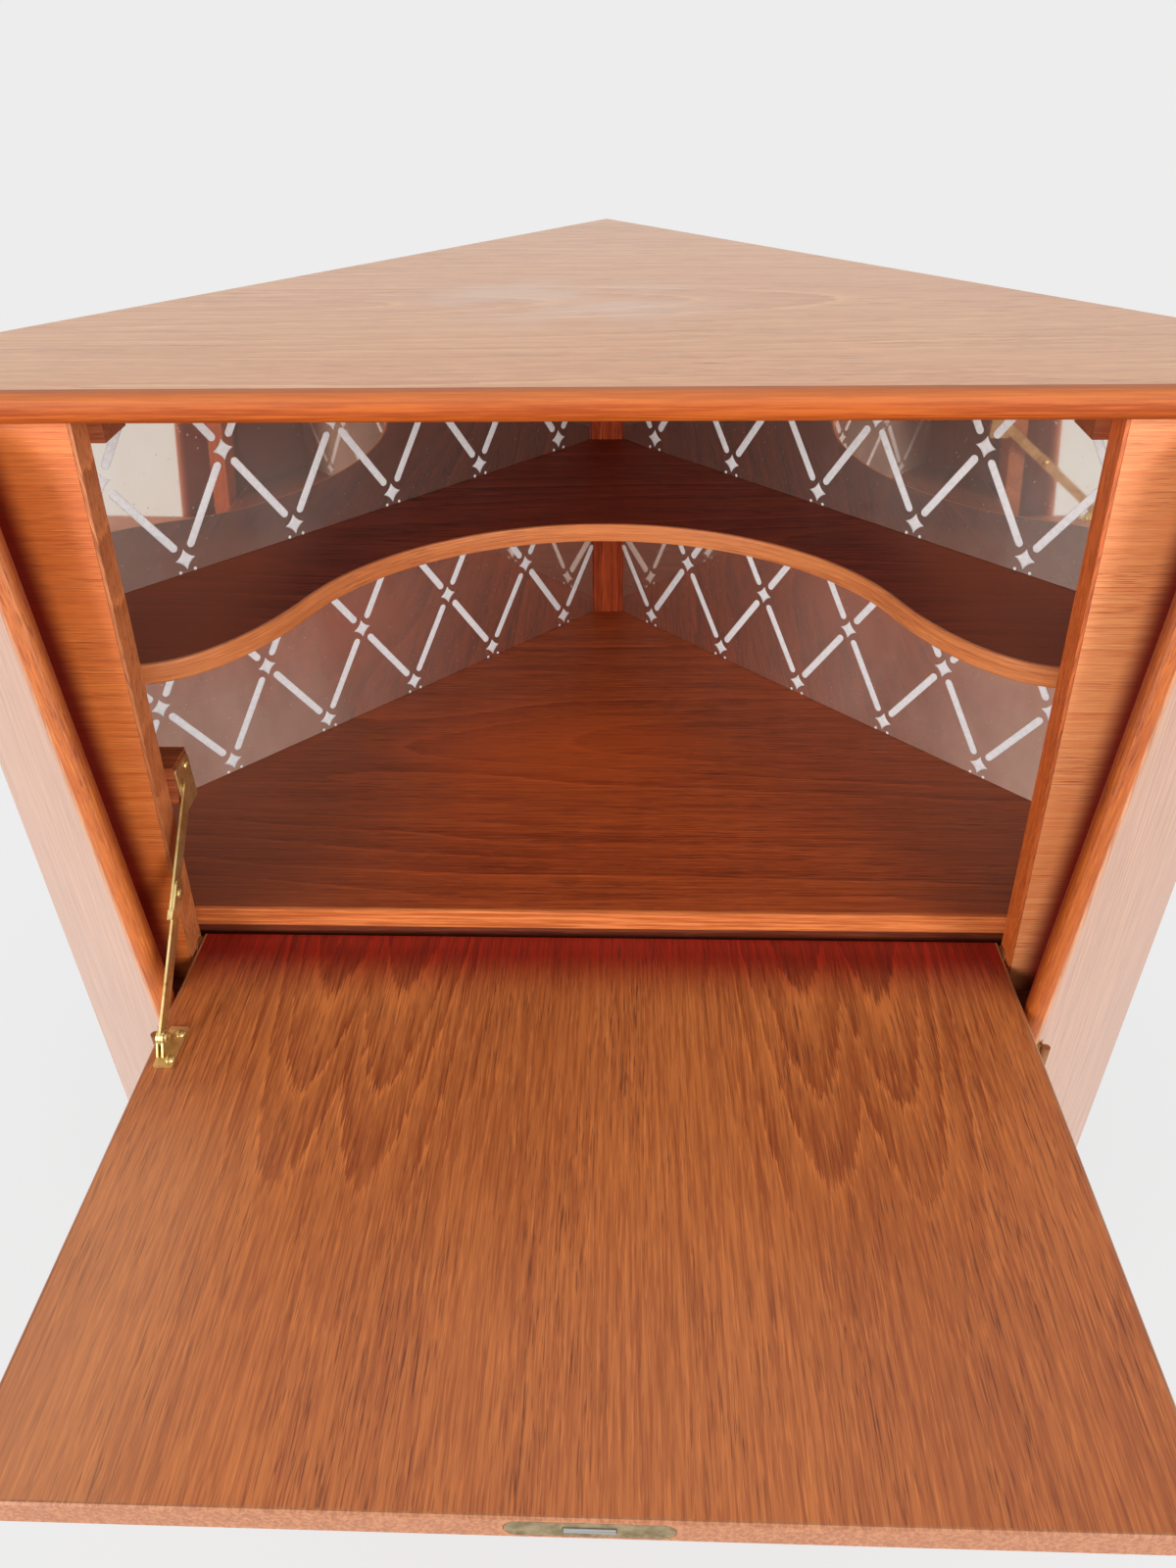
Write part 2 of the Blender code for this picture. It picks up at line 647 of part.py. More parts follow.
def flap_pivot():
    """Height, depth and open turn of the flap's pivot."""
    v, q = PIVOT_V, FLAP_PIVOT_DEPTH
    depth = -FLAP_EDGE - v * cos(FLAP_TILT) - q * sin(FLAP_TILT)
    height = BAR_HEIGHT - FLAP_DROP + v * sin(FLAP_TILT) - q * cos(FLAP_TILT)
    return height, depth, -FLAP_TILT


def flap_point(v, w):
    """Local (y, z) under the flap's empty, from distance along the flap and height over its outer face."""
    return (-(v - PIVOT_V), w - PIVOT_W)


def cabinet_point(v, w):
    """The same point in the cabinet's own (y, z), with the flap open."""
    height, depth, turn = flap_pivot()
    y, z = flap_point(v, w)
    return (depth + y * cos(turn) - z * sin(turn), height + y * sin(turn) + z * cos(turn))


def bolt_closed_y():
    """Depth of the lock bolt's middle at the top's underside when the flap is closed."""
    rise = TOP_UNDER - BAR_HEIGHT
    return stile_face(rise) + FLAP_T / 2 / cos(NOSE_LEAN)


def make_flap(teak, brass, steel, hinge):
    """Fall front with its lock. Everything here hangs on the hinge's empty."""
    ends = [flap_point(0, 0), flap_point(FLAP_LENGTH, FLAP_T)]
    mesh = box((-FLAP_HALF, FLAP_HALF), (ends[1][0], ends[0][0]), (ends[0][1], ends[1][1]))
    round_edges(mesh, lambda a, b: True, FLAP_ROUND, 1)
    flap = add("flap_panel", mesh, teak, hinge)
    free, middle = flap_point(FLAP_LENGTH, FLAP_T / 2)
    key_y = free + KEYHOLE_INSET
    under = flap_point(0, 0)[1]
    cut(flap, "plate_recess_cutter",
        capsule_plate(LOCK_X, free - CUT_OVER, free + LOCK_PLATE_T + SEAT_GAP, middle,
                      LOCK_PLATE_L + 2 * SEAT_GAP, LOCK_PLATE_H + 2 * SEAT_GAP), hinge)
    cut(flap, "case_recess_cutter",
        lock_box(LOCK_CASE_L, free, free + LOCK_PLATE_T + LOCK_CASE_DEPTH + 2 * SEAT_GAP, middle,
                 LOCK_CASE_H, SEAT_GAP), hinge)
    cut(flap, "keyhole_cutter", cylinder(KEYHOLE_R, under - CUT_OVER, middle - LOCK_CASE_H / 2, "Z",
                                         (0, key_y, 0)), hinge)
    for side in (-1, 1):
        inner, end = side * (FLAP_HALF - PIN_LENGTH - PIN_GAP), side * (FLAP_HALF + CUT_OVER)
        cut(flap, f"pin_bore_cutter_{side}", cylinder(PIN_R + PIN_GAP, inner, end, "X"), hinge)
    make_lock(brass, steel, hinge, free, middle, under)
    make_keyhole(brass, hinge, key_y, under)
    make_key(brass, hinge, key_y, under)


def lock_box(length, front, back, z, height, gap=0.0):
    """A box behind the flap's free edge, centred on the lock, with a gap round it."""
    half_x, half_z = length / 2 + gap, height / 2 + gap
    return box((LOCK_X - half_x, LOCK_X + half_x), (front, back), (z - half_z, z + half_z))


def make_lock(brass, steel, hinge, free, middle, under):
    """Lock's face plate, case and bolt in the flap's free edge."""
    mesh = capsule_plate(LOCK_X, free, free + LOCK_PLATE_T, middle, LOCK_PLATE_L, LOCK_PLATE_H)
    plate = add("lock_plate", mesh, brass, hinge)
    gap = PIN_GAP * 2
    cut(plate, "plate_window_cutter",
        lock_box(BOLT_L, free - CUT_OVER, free + LOCK_PLATE_T + CUT_OVER, middle, BOLT_H, gap), hinge)
    front = free + LOCK_PLATE_T + SEAT_GAP
    mesh = lock_box(LOCK_CASE_L, front, front + LOCK_CASE_DEPTH, middle, LOCK_CASE_H)
    case = add("lock_case", mesh, steel, hinge)
    cut(case, "case_channel_cutter",
        lock_box(BOLT_L, front - CUT_OVER, free + BOLT_DEPTH + gap, middle, BOLT_H, gap), hinge)
    cut(case, "case_bore_cutter",
        cylinder(KEY_STEM_R + PIN_GAP, middle - LOCK_CASE_H / 2 - CUT_OVER,
                 under + KEY_IN + LINING_DEPTH, "Z", (0, free + KEYHOLE_INSET, 0)), hinge)
    add("lock_bolt", lock_box(BOLT_L, free - BOLT_SHOW, free + BOLT_DEPTH, middle, BOLT_H), steel, hinge)


def make_keyhole(brass, hinge, key_y, under):
    """Lipped lining of the keyhole, in the flap's outer face."""
    lip = under - SEAT_GAP
    profile = [(LINING_LIP_R, lip - LINING_LIP_T), (LINING_LIP_R, lip), (LINING_R, lip),
               (LINING_R, under + LINING_DEPTH)]
    lining = add("keyhole_lining", turned(profile, ROUND_SIDES, "Z", (0, key_y, 0)), brass, hinge,
                 smooth=True)
    cut(lining, "lining_bore_cutter",
        cylinder(LINING_BORE_R, under - LINING_LIP_T - CUT_OVER, under + LINING_DEPTH + CUT_OVER, "Z",
                 (0, key_y, 0)), hinge)


def capsule_plate(x, front, back, z, length, height):
    """A plate with round ends, its face towards -Y."""
    r = height / 2
    straight = length / 2 - r
    outline = (arc((x + straight, z), r, -pi / 2, pi / 2, ARC_STEPS)
               + arc((x - straight, z), r, pi / 2, 3 * pi / 2, ARC_STEPS))
    return prism(outline, front, back, "Y")


def make_key(brass, hinge, key_y, under):
    """Key in the lock: a stem with a collar, and a ring for a bow."""
    tip = under + KEY_IN
    low = under - KEY_OUT
    collar = KEY_STEM_R * KEY_COLLAR_SHARE
    levels = [low + KEY_STEM_R * share for share in KEY_COLLAR_SHARES]
    profile = [(KEY_STEM_R, low), (KEY_STEM_R, levels[0]), (collar, levels[1]), (collar, levels[2]),
               (KEY_STEM_R, levels[3]), (KEY_STEM_R, tip)]
    key = add("lock_key", turned(profile, SMALL_SIDES), brass, hinge, (0, key_y, 0), smooth=True)
    ring = bmesh.new()
    around, across = ROUND_SIDES, KEY_BOW_SIDES
    centre = low - KEY_BOW_R + KEY_BOW_WIRE_R
    loops = []
    for i in range(around):
        a = 2 * pi * i / around
        loop = []
        for j in range(across):
            b = 2 * pi * j / across
            r = KEY_BOW_R + KEY_BOW_WIRE_R * cos(b)
            loop.append(ring.verts.new((r * cos(a), KEY_BOW_WIRE_R * sin(b), centre + r * sin(a))))
        loops.append(loop)
    for i in range(around):
        for j in range(across):
            k, m = (i + 1) % around, (j + 1) % across
            ring.faces.new((loops[i][j], loops[i][m], loops[k][m], loops[k][j]))
    join(key, "key_bow", ring, hinge, (0, key_y, 0))


def make_knife_hinges(brass):
    """A flanged pin at each end of the flap, let into the stile."""
    height, depth, _ = flap_pivot()
    for side, word in ((-1, "left"), (1, "right")):
        face = side * (STILE_IN - SEAT_GAP)
        flange = side * (STILE_IN - SEAT_GAP - FLANGE_T)
        profile = [(PIN_R, side * (FLAP_HALF - PIN_LENGTH)), (PIN_R, flange), (FLANGE_R, flange),
                   (FLANGE_R, face), (SPIGOT_R, face), (SPIGOT_R, side * (STILE_IN + SPIGOT_LENGTH))]
        add(f"flap_pivot_{word}", turned(profile, SMALL_SIDES, "X", (0, depth, height)), brass, smooth=True)


def stay_points():
    """Pivot, joint and eye of the folding stay in (y, z) with the flap open, and its lower length.

    The arms lie in one line when the flap is open, and fold flat over each other when it is closed.
    """
    eye = cabinet_point(STAY_EYE_V, FLAP_T + STAY_EYE_W)
    height, depth, _ = flap_pivot()
    y, z = eye[0] - depth, eye[1] - height
    c, s = cos(FLAP_TRAVEL), sin(FLAP_TRAVEL)
    closed = (depth + y * c + z * s, height - y * s + z * c)
    pivot = (closed[0] + STAY_FOLD * sin(NOSE_LEAN), closed[1] + STAY_FOLD * cos(NOSE_LEAN))
    reach = hypot(eye[0] - pivot[0], eye[1] - pivot[1])
    upper = (reach - STAY_FOLD) / 2
    joint = tuple(p + upper / reach * (e - p) for p, e in zip(pivot, eye))
    return pivot, joint, eye, reach - upper


def arm_outline(start, end, width):
    """A flat arm with round ends, long in the first coordinate."""
    r = width / 2
    return (arc((end - r, 0), r, -pi / 2, pi / 2, ARC_STEPS)
            + arc((start, 0), r, pi / 2, 3 * pi / 2, ARC_STEPS))


def rivet(radius, head_radius, head, length, x, way):
    """A domed rivet along X: its head stands on x and its shank runs back by length."""
    dome = [(head_radius, 0), (head_radius * cos(pi / 6), head * RIVET_DOME_SHARE), (head_radius / 2, head)]
    profile = [(radius, -length), (radius, 0)] + dome
    return turned([(r, x + way * h) for r, h in profile], SMALL_SIDES, "X")


def make_stay(brass, teak):
    """Folding stay on the left: block, bracket, two arms, rivets and the flap's bracket."""
    pivot, joint, eye, lower = stay_points()
    upper = hypot(joint[0] - pivot[0], joint[1] - pivot[1])
    swing = atan2(joint[1] - pivot[1], joint[0] - pivot[0])
    upper_x = (-STAY_X - ARM_T, -STAY_X)
    lower_x = (-STAY_X + ARM_GAP, -STAY_X + ARM_GAP + ARM_T)

    block_top = BAR_HEIGHT + BLOCK_TOP_UP
    block_face = upper_x[0] - ARM_GAP - PLATE_T - SEAT_GAP
    front = stile_face(BLOCK_TOP_UP) + STILE_T + SEAT_GAP
    low_front = stile_face(BLOCK_TOP_UP - BLOCK_H) + STILE_T + SEAT_GAP
    mesh = prism([(low_front, block_top - BLOCK_H), (front + BLOCK_DEPTH, block_top - BLOCK_H),
                  (front + BLOCK_DEPTH, block_top), (front, block_top)],
                 block_face - BLOCK_W, block_face, "X")
    block = add("stay_block", mesh, teak)

    bracket_top = block_top - BRACKET_DROP
    bracket_front = front + SEAT_GAP
    bracket_x = (block_face + SEAT_GAP, block_face + SEAT_GAP + PLATE_T)
    bracket_rear, bracket_low = bracket_front + BRACKET_W, bracket_top - BRACKET_H
    mesh = prism([(bracket_front, bracket_low), (bracket_rear, bracket_low), (bracket_rear, bracket_top),
                  (bracket_front, bracket_top)], *bracket_x, "X")
    round_edges(mesh, lambda a, b: abs(a.x - b.x) > PLATE_T / 2, 2 * EDGE_ROUND, 3)
    bracket = add("stay_bracket", mesh, brass)
    cut(bracket, "bracket_hole_cutter", cylinder(RIVET_R + PIN_GAP, bracket_x[0] - CUT_OVER,
                                                 bracket_x[1] + CUT_OVER, "X", (0, *pivot)))

    screw_y = bracket_front + BRACKET_W - 2 * SCREW_R
    screw_z = bracket_top - 2 * SCREW_R
    add("stay_block_screw", screw((bracket_x[1], screw_y, screw_z), "X"), brass, smooth=True)
    wide = SCREW_SHANK_R + PIN_GAP
    for target in (bracket, block):
        hole = cylinder(wide, bracket_x[1] - SCREW_SHANK - SEAT_GAP, bracket_x[1] + CUT_OVER, "X",
                        (0, screw_y, screw_z))
        cut(target, f"{target.name}_screw_hole", hole)

    upper_hinge = empty("stay_upper_pivot", (0, *pivot), root, (swing, 0, 0))
    tip = upper + LUG_REACH
    r = ARM_W / 2
    outline = [(tip, -r), (tip, r)] + arc((0, 0), r, pi / 2, 3 * pi / 2, ARC_STEPS)
    arm = add("stay_upper_arm", prism(outline, *upper_x, "X"), brass, upper_hinge)
    edge = -r - ARM_GAP
    neck = box(upper_x, (tip - LUG_LENGTH, tip), (edge - LUG_T, 0))
    lug = box((upper_x[0], lower_x[1]), (tip - LUG_LENGTH, tip), (edge - LUG_T, edge))
    join(arm, "lug_neck", neck, upper_hinge)
    join(arm, "lug_tongue", lug, upper_hinge)
    wide, sunk = RIVET_R + PIN_GAP, RIVET_HEAD_R + PIN_GAP
    sink = [(wide, upper_x[0] - CUT_OVER), (wide, upper_x[0] + ARM_T / 4), (sunk, upper_x[1]),
            (sunk, upper_x[1] + CUT_OVER)]
    cut(arm, "upper_eye_cutter", turned(sink, SMALL_SIDES, "X"), upper_hinge)
    flush = [(RIVET_R, bracket_x[0]), (RIVET_R, upper_x[0] + ARM_T / 4 + PIN_GAP),
             (RIVET_HEAD_R, upper_x[1])]
    add("stay_upper_rivet", turned(flush, SMALL_SIDES, "X"), brass, root, (0, *pivot), smooth=True)

    lower_hinge = empty("stay_lower_pivot", (0, *eye), root, (swing + pi, 0, 0))
    mesh = prism(arm_outline(0, lower + ARM_TAIL, ARM_W), *lower_x, "X")
    arm = add("stay_lower_arm", mesh, brass, lower_hinge)
    for number, along in enumerate((0, lower)):
        hole = cylinder(wide, lower_x[0] - CUT_OVER, lower_x[1] + CUT_OVER, "X", (0, along, 0))
        cut(arm, f"lower_eye_cutter_{number}", hole, lower_hinge)
    mesh = rivet(RIVET_R, RIVET_HEAD_R, RIVET_HEAD_H, ARM_T + SEAT_GAP, lower_x[1] + SEAT_GAP, 1)
    add("stay_joint_rivet", mesh, brass, lower_hinge, (0, lower, 0), smooth=True)
    return lower_x


def screw(seat, axis):
    """A round-head screw whose head sits on the seat and points along +axis."""
    profile = [(SCREW_SHANK_R, -SCREW_SHANK), (SCREW_SHANK_R, SEAT_GAP), (SCREW_R, SEAT_GAP),
               (SCREW_R * cos(pi / 6), SEAT_GAP + SCREW_HEAD_H * SCREW_DOME_SHARE),
               (SCREW_R / 2, SEAT_GAP + SCREW_HEAD_H)]
    return turned(profile, SMALL_SIDES, axis, seat)


def make_flap_bracket(brass, hinge, lower_x):
    """Bracket on the flap's inner face: a plate, two ears, an eye pin and two screws."""
    foot = flap_point(STAY_EYE_V, FLAP_T)
    face = foot[1] + SEAT_GAP
    eye = (foot[0], foot[1] + STAY_EYE_W)
    left_ear = (lower_x[0] - ARM_GAP - EAR_T, lower_x[0] - ARM_GAP)
    right_ear = (lower_x[1] + ARM_GAP, lower_x[1] + ARM_GAP + EAR_T)
    plate_x = (left_ear[0], left_ear[0] + PLATE_W)
    mesh = box(plate_x, (foot[0] - PLATE_L / 2, foot[0] + PLATE_L / 2), (face, face + PLATE_T))
    round_edges(mesh, lambda a, b: abs(a.z - b.z) > PLATE_T / 2, EDGE_ROUND, 2)
    plate = add("stay_flap_bracket", mesh, brass, hinge)
    for number, ear in enumerate((left_ear, right_ear)):
        low = face + PLATE_T / 2
        outline = arc(eye, EAR_TOP_R, 0, pi, ARC_STEPS)
        outline += [(eye[0] - EAR_FOOT_L / 2, low), (eye[0] + EAR_FOOT_L / 2, low)]
        join(plate, f"ear_{number}", prism(outline, *ear, "X"), hinge)
    hole = cylinder(EYE_PIN_R + PIN_GAP, left_ear[0] - CUT_OVER, right_ear[1] + CUT_OVER, "X", (0, *eye))
    cut(plate, "ear_hole_cutter", hole, hinge)
    length = right_ear[1] - left_ear[0]
    mesh = rivet(EYE_PIN_R, RIVET_HEAD_R, RIVET_HEAD_H, length, right_ear[1] + SEAT_GAP, 1)
    add("stay_eye_pin", mesh, brass, hinge, (0, *eye), smooth=True)
    screw_x = plate_x[1] - SCREW_R - SEAT_GAP
    flap = bpy.data.objects["flap_panel"]
    for word, way in (("front", -1), ("rear", 1)):
        y = foot[0] + way * PLATE_SCREW_SPAN / 2
        add(f"stay_flap_screw_{word}", screw((screw_x, y, face + PLATE_T), "Z"), brass, hinge, smooth=True)
        for target in (plate, flap):
            hole = cylinder(SCREW_SHANK_R + PIN_GAP, face + PLATE_T - SCREW_SHANK - SEAT_GAP,
                            face + PLATE_T + CUT_OVER, "Z", (screw_x, y, 0))
            cut(target, f"{target.name}_screw_hole_{word}", hole, hinge)


def door_axis(side):
    """Plan position of a lower door's hinge pin."""
    reach = NOSE_TANGENT / ROOT2 - KNUCKLE_OUT / ROOT2
    return (side * (HALF_WIDTH - reach), -(HALF_WIDTH + NOSE_TANGENT / ROOT2 + KNUCKLE_OUT / ROOT2))


def door_outline(side):
    """Plan of a closed lower door: square meeting edge and bevelled, rounded outer edge."""
    bevel = DOOR_FRONT - HALF_WIDTH + DOOR_EDGE_GAP * ROOT2
    corner = (HALF_WIDTH - bevel, -DOOR_FRONT)
    r = DOOR_CORNER_R
    reach = r / tan(pi / 8)
    centre = (corner[0] - reach, corner[1] + r)
    nose = arc(centre, r, -pi / 2, pi / 4, ARC_STEPS)
    inner = -DOOR_FRONT + DOOR_T
    rear = [(corner[0] - DOOR_T, inner), (DOOR_MEET_GAP / 2, inner)]
    return mirrored([(DOOR_MEET_GAP / 2, -DOOR_FRONT)] + nose + rear, side)


def on_mating(side, out, along):
    """Plan point near the joint of door and side board.

    out runs along the joint away from the cabinet, along runs from the joint towards the wall.
    """
    x = HALF_WIDTH - NOSE_TANGENT / ROOT2 + out / ROOT2 + along / ROOT2
    y = -(HALF_WIDTH + NOSE_TANGENT / ROOT2) - out / ROOT2 + along / ROOT2
    return (side * x, y)


def mating_plan(side, out, along):
    """Four plan points near the joint, from a pair of distances out of it and a pair along it."""
    return [on_mating(side, out[0], along[0]), on_mating(side, out[1], along[0]),
            on_mating(side, out[1], along[1]), on_mating(side, out[0], along[1])]


def knuckle_room(side, low, high):
    """Space that a leaf leaves for the other leaf's knuckle."""
    r = KNUCKLE_R + KNUCKLE_GAP
    return prism(mating_plan(side, (KNUCKLE_OUT - r, KNUCKLE_OUT + r), (-r, r)), low, high)


def make_door_hinge(side, is_frame, look, parent, back):
    """One leaf of a door's long hinge: a plate let into the joint, its knuckles, and pin or bore."""
    word = word_of(side)
    name = f"door_hinge_{word}" if is_frame else f"door_hinge_leaf_{word}"
    low, high = DOOR_BOTTOM + HINGE_END_INSET, DOOR_TOP - HINGE_END_INSET
    pitch = (high - low) / HINGE_KNUCKLES
    way = 1 if is_frame else -1
    near = -DOOR_EDGE_GAP / 2 + way * SEAT_GAP / 2
    plan = mating_plan(side, (KNUCKLE_OUT - HINGE_LEAF_W, KNUCKLE_OUT), (near, near + way * HINGE_LEAF_T))
    leaf = add(name, prism(plan, low, high), look, parent, back, smooth=True)
    x, y = door_axis(side)
    rooms = []
    knuckles = []
    for number in range(HINGE_KNUCKLES):
        start = low + number * pitch
        if (number % 2 == 0) == is_frame:
            knuckles.append(cylinder(KNUCKLE_R, start + KNUCKLE_GAP / 2, start + pitch - KNUCKLE_GAP / 2,
                                     "Z", (x, y, 0)))
        else:
            rooms.append(knuckle_room(side, start - KNUCKLE_GAP / 2, start + pitch + KNUCKLE_GAP / 2))
    cut(leaf, f"{name}_rooms", merged(*rooms), parent, back)
    join(leaf, f"{name}_knuckles", merged(*knuckles), parent, back)
    if is_frame:
        pin = cylinder(HINGE_PIN_R, low + pitch / 2, high - pitch / 2, "Z", (x, y, 0))
        join(leaf, f"{name}_pin", pin, parent, back)
    else:
        cut(leaf, f"{name}_bore", cylinder(HINGE_PIN_R + PIN_GAP, low, high, "Z", (x, y, 0)), parent, back)
    depth = HINGE_LEAF_T + SEAT_GAP
    along = (-DOOR_EDGE_GAP, depth) if is_frame else (-DOOR_EDGE_GAP - depth, 0)
    plan = mating_plan(side, (KNUCKLE_OUT - HINGE_LEAF_W - SEAT_GAP, KNUCKLE_OUT), along)
    mortise = prism(plan, low - SEAT_GAP, high + SEAT_GAP)
    board = bpy.data.objects[f"side_panel_{word}" if is_frame else f"door_{word}"]
    cut(board, f"{name}_mortise", mortise, parent, back)


def make_door(side, teak, brass, steel):
    """Lower door with its hinge leaves, pull and catch plate, closed."""
    word = word_of(side)
    axis = door_axis(side)
    hinge = empty(f"door_pivot_{word}", (*axis, 0), root)
    back = (-axis[0], -axis[1], 0)

    panel = prism(door_outline(side), DOOR_BOTTOM, DOOR_TOP)
    inner = -DOOR_FRONT + DOOR_T

    def long_edge(a, b):
        return same((a.z, b.z), (a.y, b.y)) and (same((a.y, -DOOR_FRONT)) or same((a.y, inner)))

    round_edges(panel, long_edge, EDGE_ROUND, 1)
    add(f"door_{word}", panel, teak, hinge, back)
    make_door_hinge(side, True, brass, hinge, back)
    make_door_hinge(side, False, brass, hinge, back)

    pull_x = side * (DOOR_MEET_GAP / 2 + PULL_INSET)
    profile = [(PULL_NECK_R, -SEAT_GAP), (PULL_NECK_R, -PULL_H * PULL_NECK_SHARE)]
    profile += [(PULL_R * wide, -PULL_H * out) for wide, out in PULL_SHARES]
    mesh = turned(profile, ROUND_SIDES, "Y", (pull_x, -DOOR_FRONT, DOOR_TOP - PULL_DROP))
    add(f"door_pull_{word}", mesh, teak, hinge, back, smooth=True)
    catch_x = side * (DOOR_MEET_GAP / 2 + CATCH_INSET)
    plate_z = RAIL_TOP - RAIL_T - SEAT_GAP - CATCH_H / 2
    mesh = box((catch_x - CATCH_PLATE_L / 2, catch_x + CATCH_PLATE_L / 2),
               (inner + SEAT_GAP, inner + SEAT_GAP + CATCH_PLATE_T),
               (plate_z - CATCH_PLATE_H / 2, plate_z + CATCH_PLATE_H / 2))
    add(f"catch_plate_{word}", mesh, steel, hinge, back)


def make_catch(black):
    """Double magnetic catch under the middle of the front rail."""
    top = RAIL_TOP - RAIL_T - SEAT_GAP
    front = -DOOR_FRONT + DOOR_T + SEAT_GAP + CATCH_PLATE_T + CATCH_GAP
    mesh = box((-CATCH_L / 2, CATCH_L / 2), (front, front + CATCH_D), (top - CATCH_H, top))
    add("door_catch", mesh, black)


def make_lower_shelf(teak):
    """Lower shelf, housed between the side boards."""
    behind = BACK_T + 2 * SEAT_GAP
    between = INNER_PLANE - ROOT2 * 2 * SEAT_GAP
    plan = five_sided(behind, between, LOWER_SHELF_FRONT)
    add("lower_shelf", prism(plan, LOWER_SHELF_UP - FLOOR_T, LOWER_SHELF_UP), teak)


def make_legs(teak):
    """Five turned tapered legs under the bottom board."""
    top = CARCASS_BOTTOM - SEAT_GAP
    profile = [(LEG_FOOT_R * LEG_FOOT_SHARE, 0), (LEG_FOOT_R, LEG_FOOT_H / 2), (LEG_FOOT_R, LEG_FOOT_H),
               (LEG_TOP_R, top - LEG_COLLAR_H), (LEG_COLLAR_R, top - LEG_COLLAR_H * LEG_COLLAR_SHARE),
               (LEG_COLLAR_R, top)]
    front = RAIL_FRONT - LEG_INSET
    front_x = INNER_PLANE - RAIL_FRONT - LEG_INSET / 2
    rear = HALF_WIDTH - LEG_INSET
    places = {"front_left": (-front_x, -front), "front_right": (front_x, -front),
              "side_left": (-rear, -HALF_WIDTH), "side_right": (rear, -HALF_WIDTH),
              "corner": (0, -ROOT2 * LEG_INSET)}
    for word, (x, y) in places.items():
        add(f"leg_{word}", turned(profile, ROUND_SIDES, "Z"), teak, root, (x, y, 0), smooth=True)


def lowest_y():
    """Depth of the flap's foremost corner when it is open."""
    return min(cabinet_point(FLAP_LENGTH, w)[0] for w in (0, FLAP_T))


def build():
    """The whole cabinet."""
    global root
    clear_scene()
    root = empty("cabinet", (0, -lowest_y() / 2, 0))
    teak = material("teak", (0.42, 0.17, 0.07), 0.38)
    teak_cross = material("teak_cross_veneer", (0.52, 0.22, 0.09), 0.36)
    teak_light = material("teak_lipping", (0.60, 0.28, 0.13), 0.4)
    teak_dark = material("teak_interior", (0.15, 0.045, 0.025), 0.42)
    plywood = material("back_plywood", (0.45, 0.30, 0.18), 0.7)
    glass = material("mirror", (0.80, 0.78, 0.75), 0.05, 1.0)
    brass = material("brass", (0.80, 0.66, 0.36), 0.28, 1.0)
    steel = material("steel", (0.62, 0.62, 0.60), 0.3, 1.0)
    black = material("catch_black", (0.05, 0.05, 0.05), 0.5)

    make_top(teak)
    make_strike(brass)
    for side in (-1, 1):
        make_side(side, teak)
        make_stile(side, teak_cross, teak_light)
    plan, tiers = make_backs(plywood, glass)
    make_posts(plan, tiers, teak)
    make_floors(teak_dark)
    make_shelf(teak_dark)
    make_stops(teak)
    height, depth, turn = flap_pivot()
    hinge = empty("flap_hinge", (0, depth, height), root, (turn, 0, 0))
    make_flap(teak, brass, steel, hinge)
    make_knife_hinges(brass)
    lower_x = make_stay(brass, teak)
    make_flap_bracket(brass, hinge, lower_x)
    for side in (-1, 1):
        make_door(side, teak, brass, steel)
    make_catch(black)
    make_lower_shelf(teak)
    make_legs(teak)


build()
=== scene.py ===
"""Looks of the teak corner bar cabinet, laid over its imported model, with the flap open.

Metres, +Z up, the front faces -Y. The room corner's upright line is at x = 0, y = CORNER.
"""

import bmesh
import bpy
import numpy as np
from mathutils import Matrix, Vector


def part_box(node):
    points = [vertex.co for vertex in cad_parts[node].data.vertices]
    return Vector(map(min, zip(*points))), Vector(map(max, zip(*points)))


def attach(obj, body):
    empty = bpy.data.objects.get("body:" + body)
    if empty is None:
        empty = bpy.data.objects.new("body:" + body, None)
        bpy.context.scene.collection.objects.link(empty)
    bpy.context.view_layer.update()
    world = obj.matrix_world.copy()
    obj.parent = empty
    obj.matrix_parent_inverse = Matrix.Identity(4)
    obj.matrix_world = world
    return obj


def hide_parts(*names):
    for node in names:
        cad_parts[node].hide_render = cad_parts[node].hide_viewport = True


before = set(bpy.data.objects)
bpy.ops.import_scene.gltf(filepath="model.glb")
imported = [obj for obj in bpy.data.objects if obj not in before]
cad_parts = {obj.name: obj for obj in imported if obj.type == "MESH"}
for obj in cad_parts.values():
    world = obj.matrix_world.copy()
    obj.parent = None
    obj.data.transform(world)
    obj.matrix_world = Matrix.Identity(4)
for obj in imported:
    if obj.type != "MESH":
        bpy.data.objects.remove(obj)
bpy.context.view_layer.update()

# The view. The camera looks down into the open bar from just above the top board, close enough
# for the sides to run steeply outwards.
SPOT = (0.0249, -0.7632, 1.4541)
YAW, PITCH, ROLL = np.radians((2.431, 35.601, 1.0195))

ahead = np.array((-np.sin(YAW) * np.cos(PITCH), np.cos(YAW) * np.cos(PITCH), -np.sin(PITCH)))
level = np.array((np.cos(YAW), np.sin(YAW), 0.0))
under = np.cross(ahead, level)
right = level * np.cos(ROLL) + under * np.sin(ROLL)
lower = under * np.cos(ROLL) - level * np.sin(ROLL)
pose = np.identity(4)
pose[:3, 0], pose[:3, 1], pose[:3, 2], pose[:3, 3] = right, -lower, -ahead, SPOT
camera = bpy.data.objects.new("camera", bpy.data.cameras.new("camera"))
camera.matrix_world = Matrix(pose)
camera.data.sensor_fit = "VERTICAL"
camera.data.sensor_height = 36.0
camera.data.lens = 26.23
camera.data.clip_start = 0.02
bpy.context.scene.collection.objects.link(camera)
bpy.context.scene.camera = camera
bpy.context.scene.view_settings.view_transform = "Standard"


# The room. A plain pale floor that fades into a pale surround, so that only the cabinet's own
# shadow shows on it.
OWN_FRAME = 3  # Texture Coordinate's output for the object's own frame


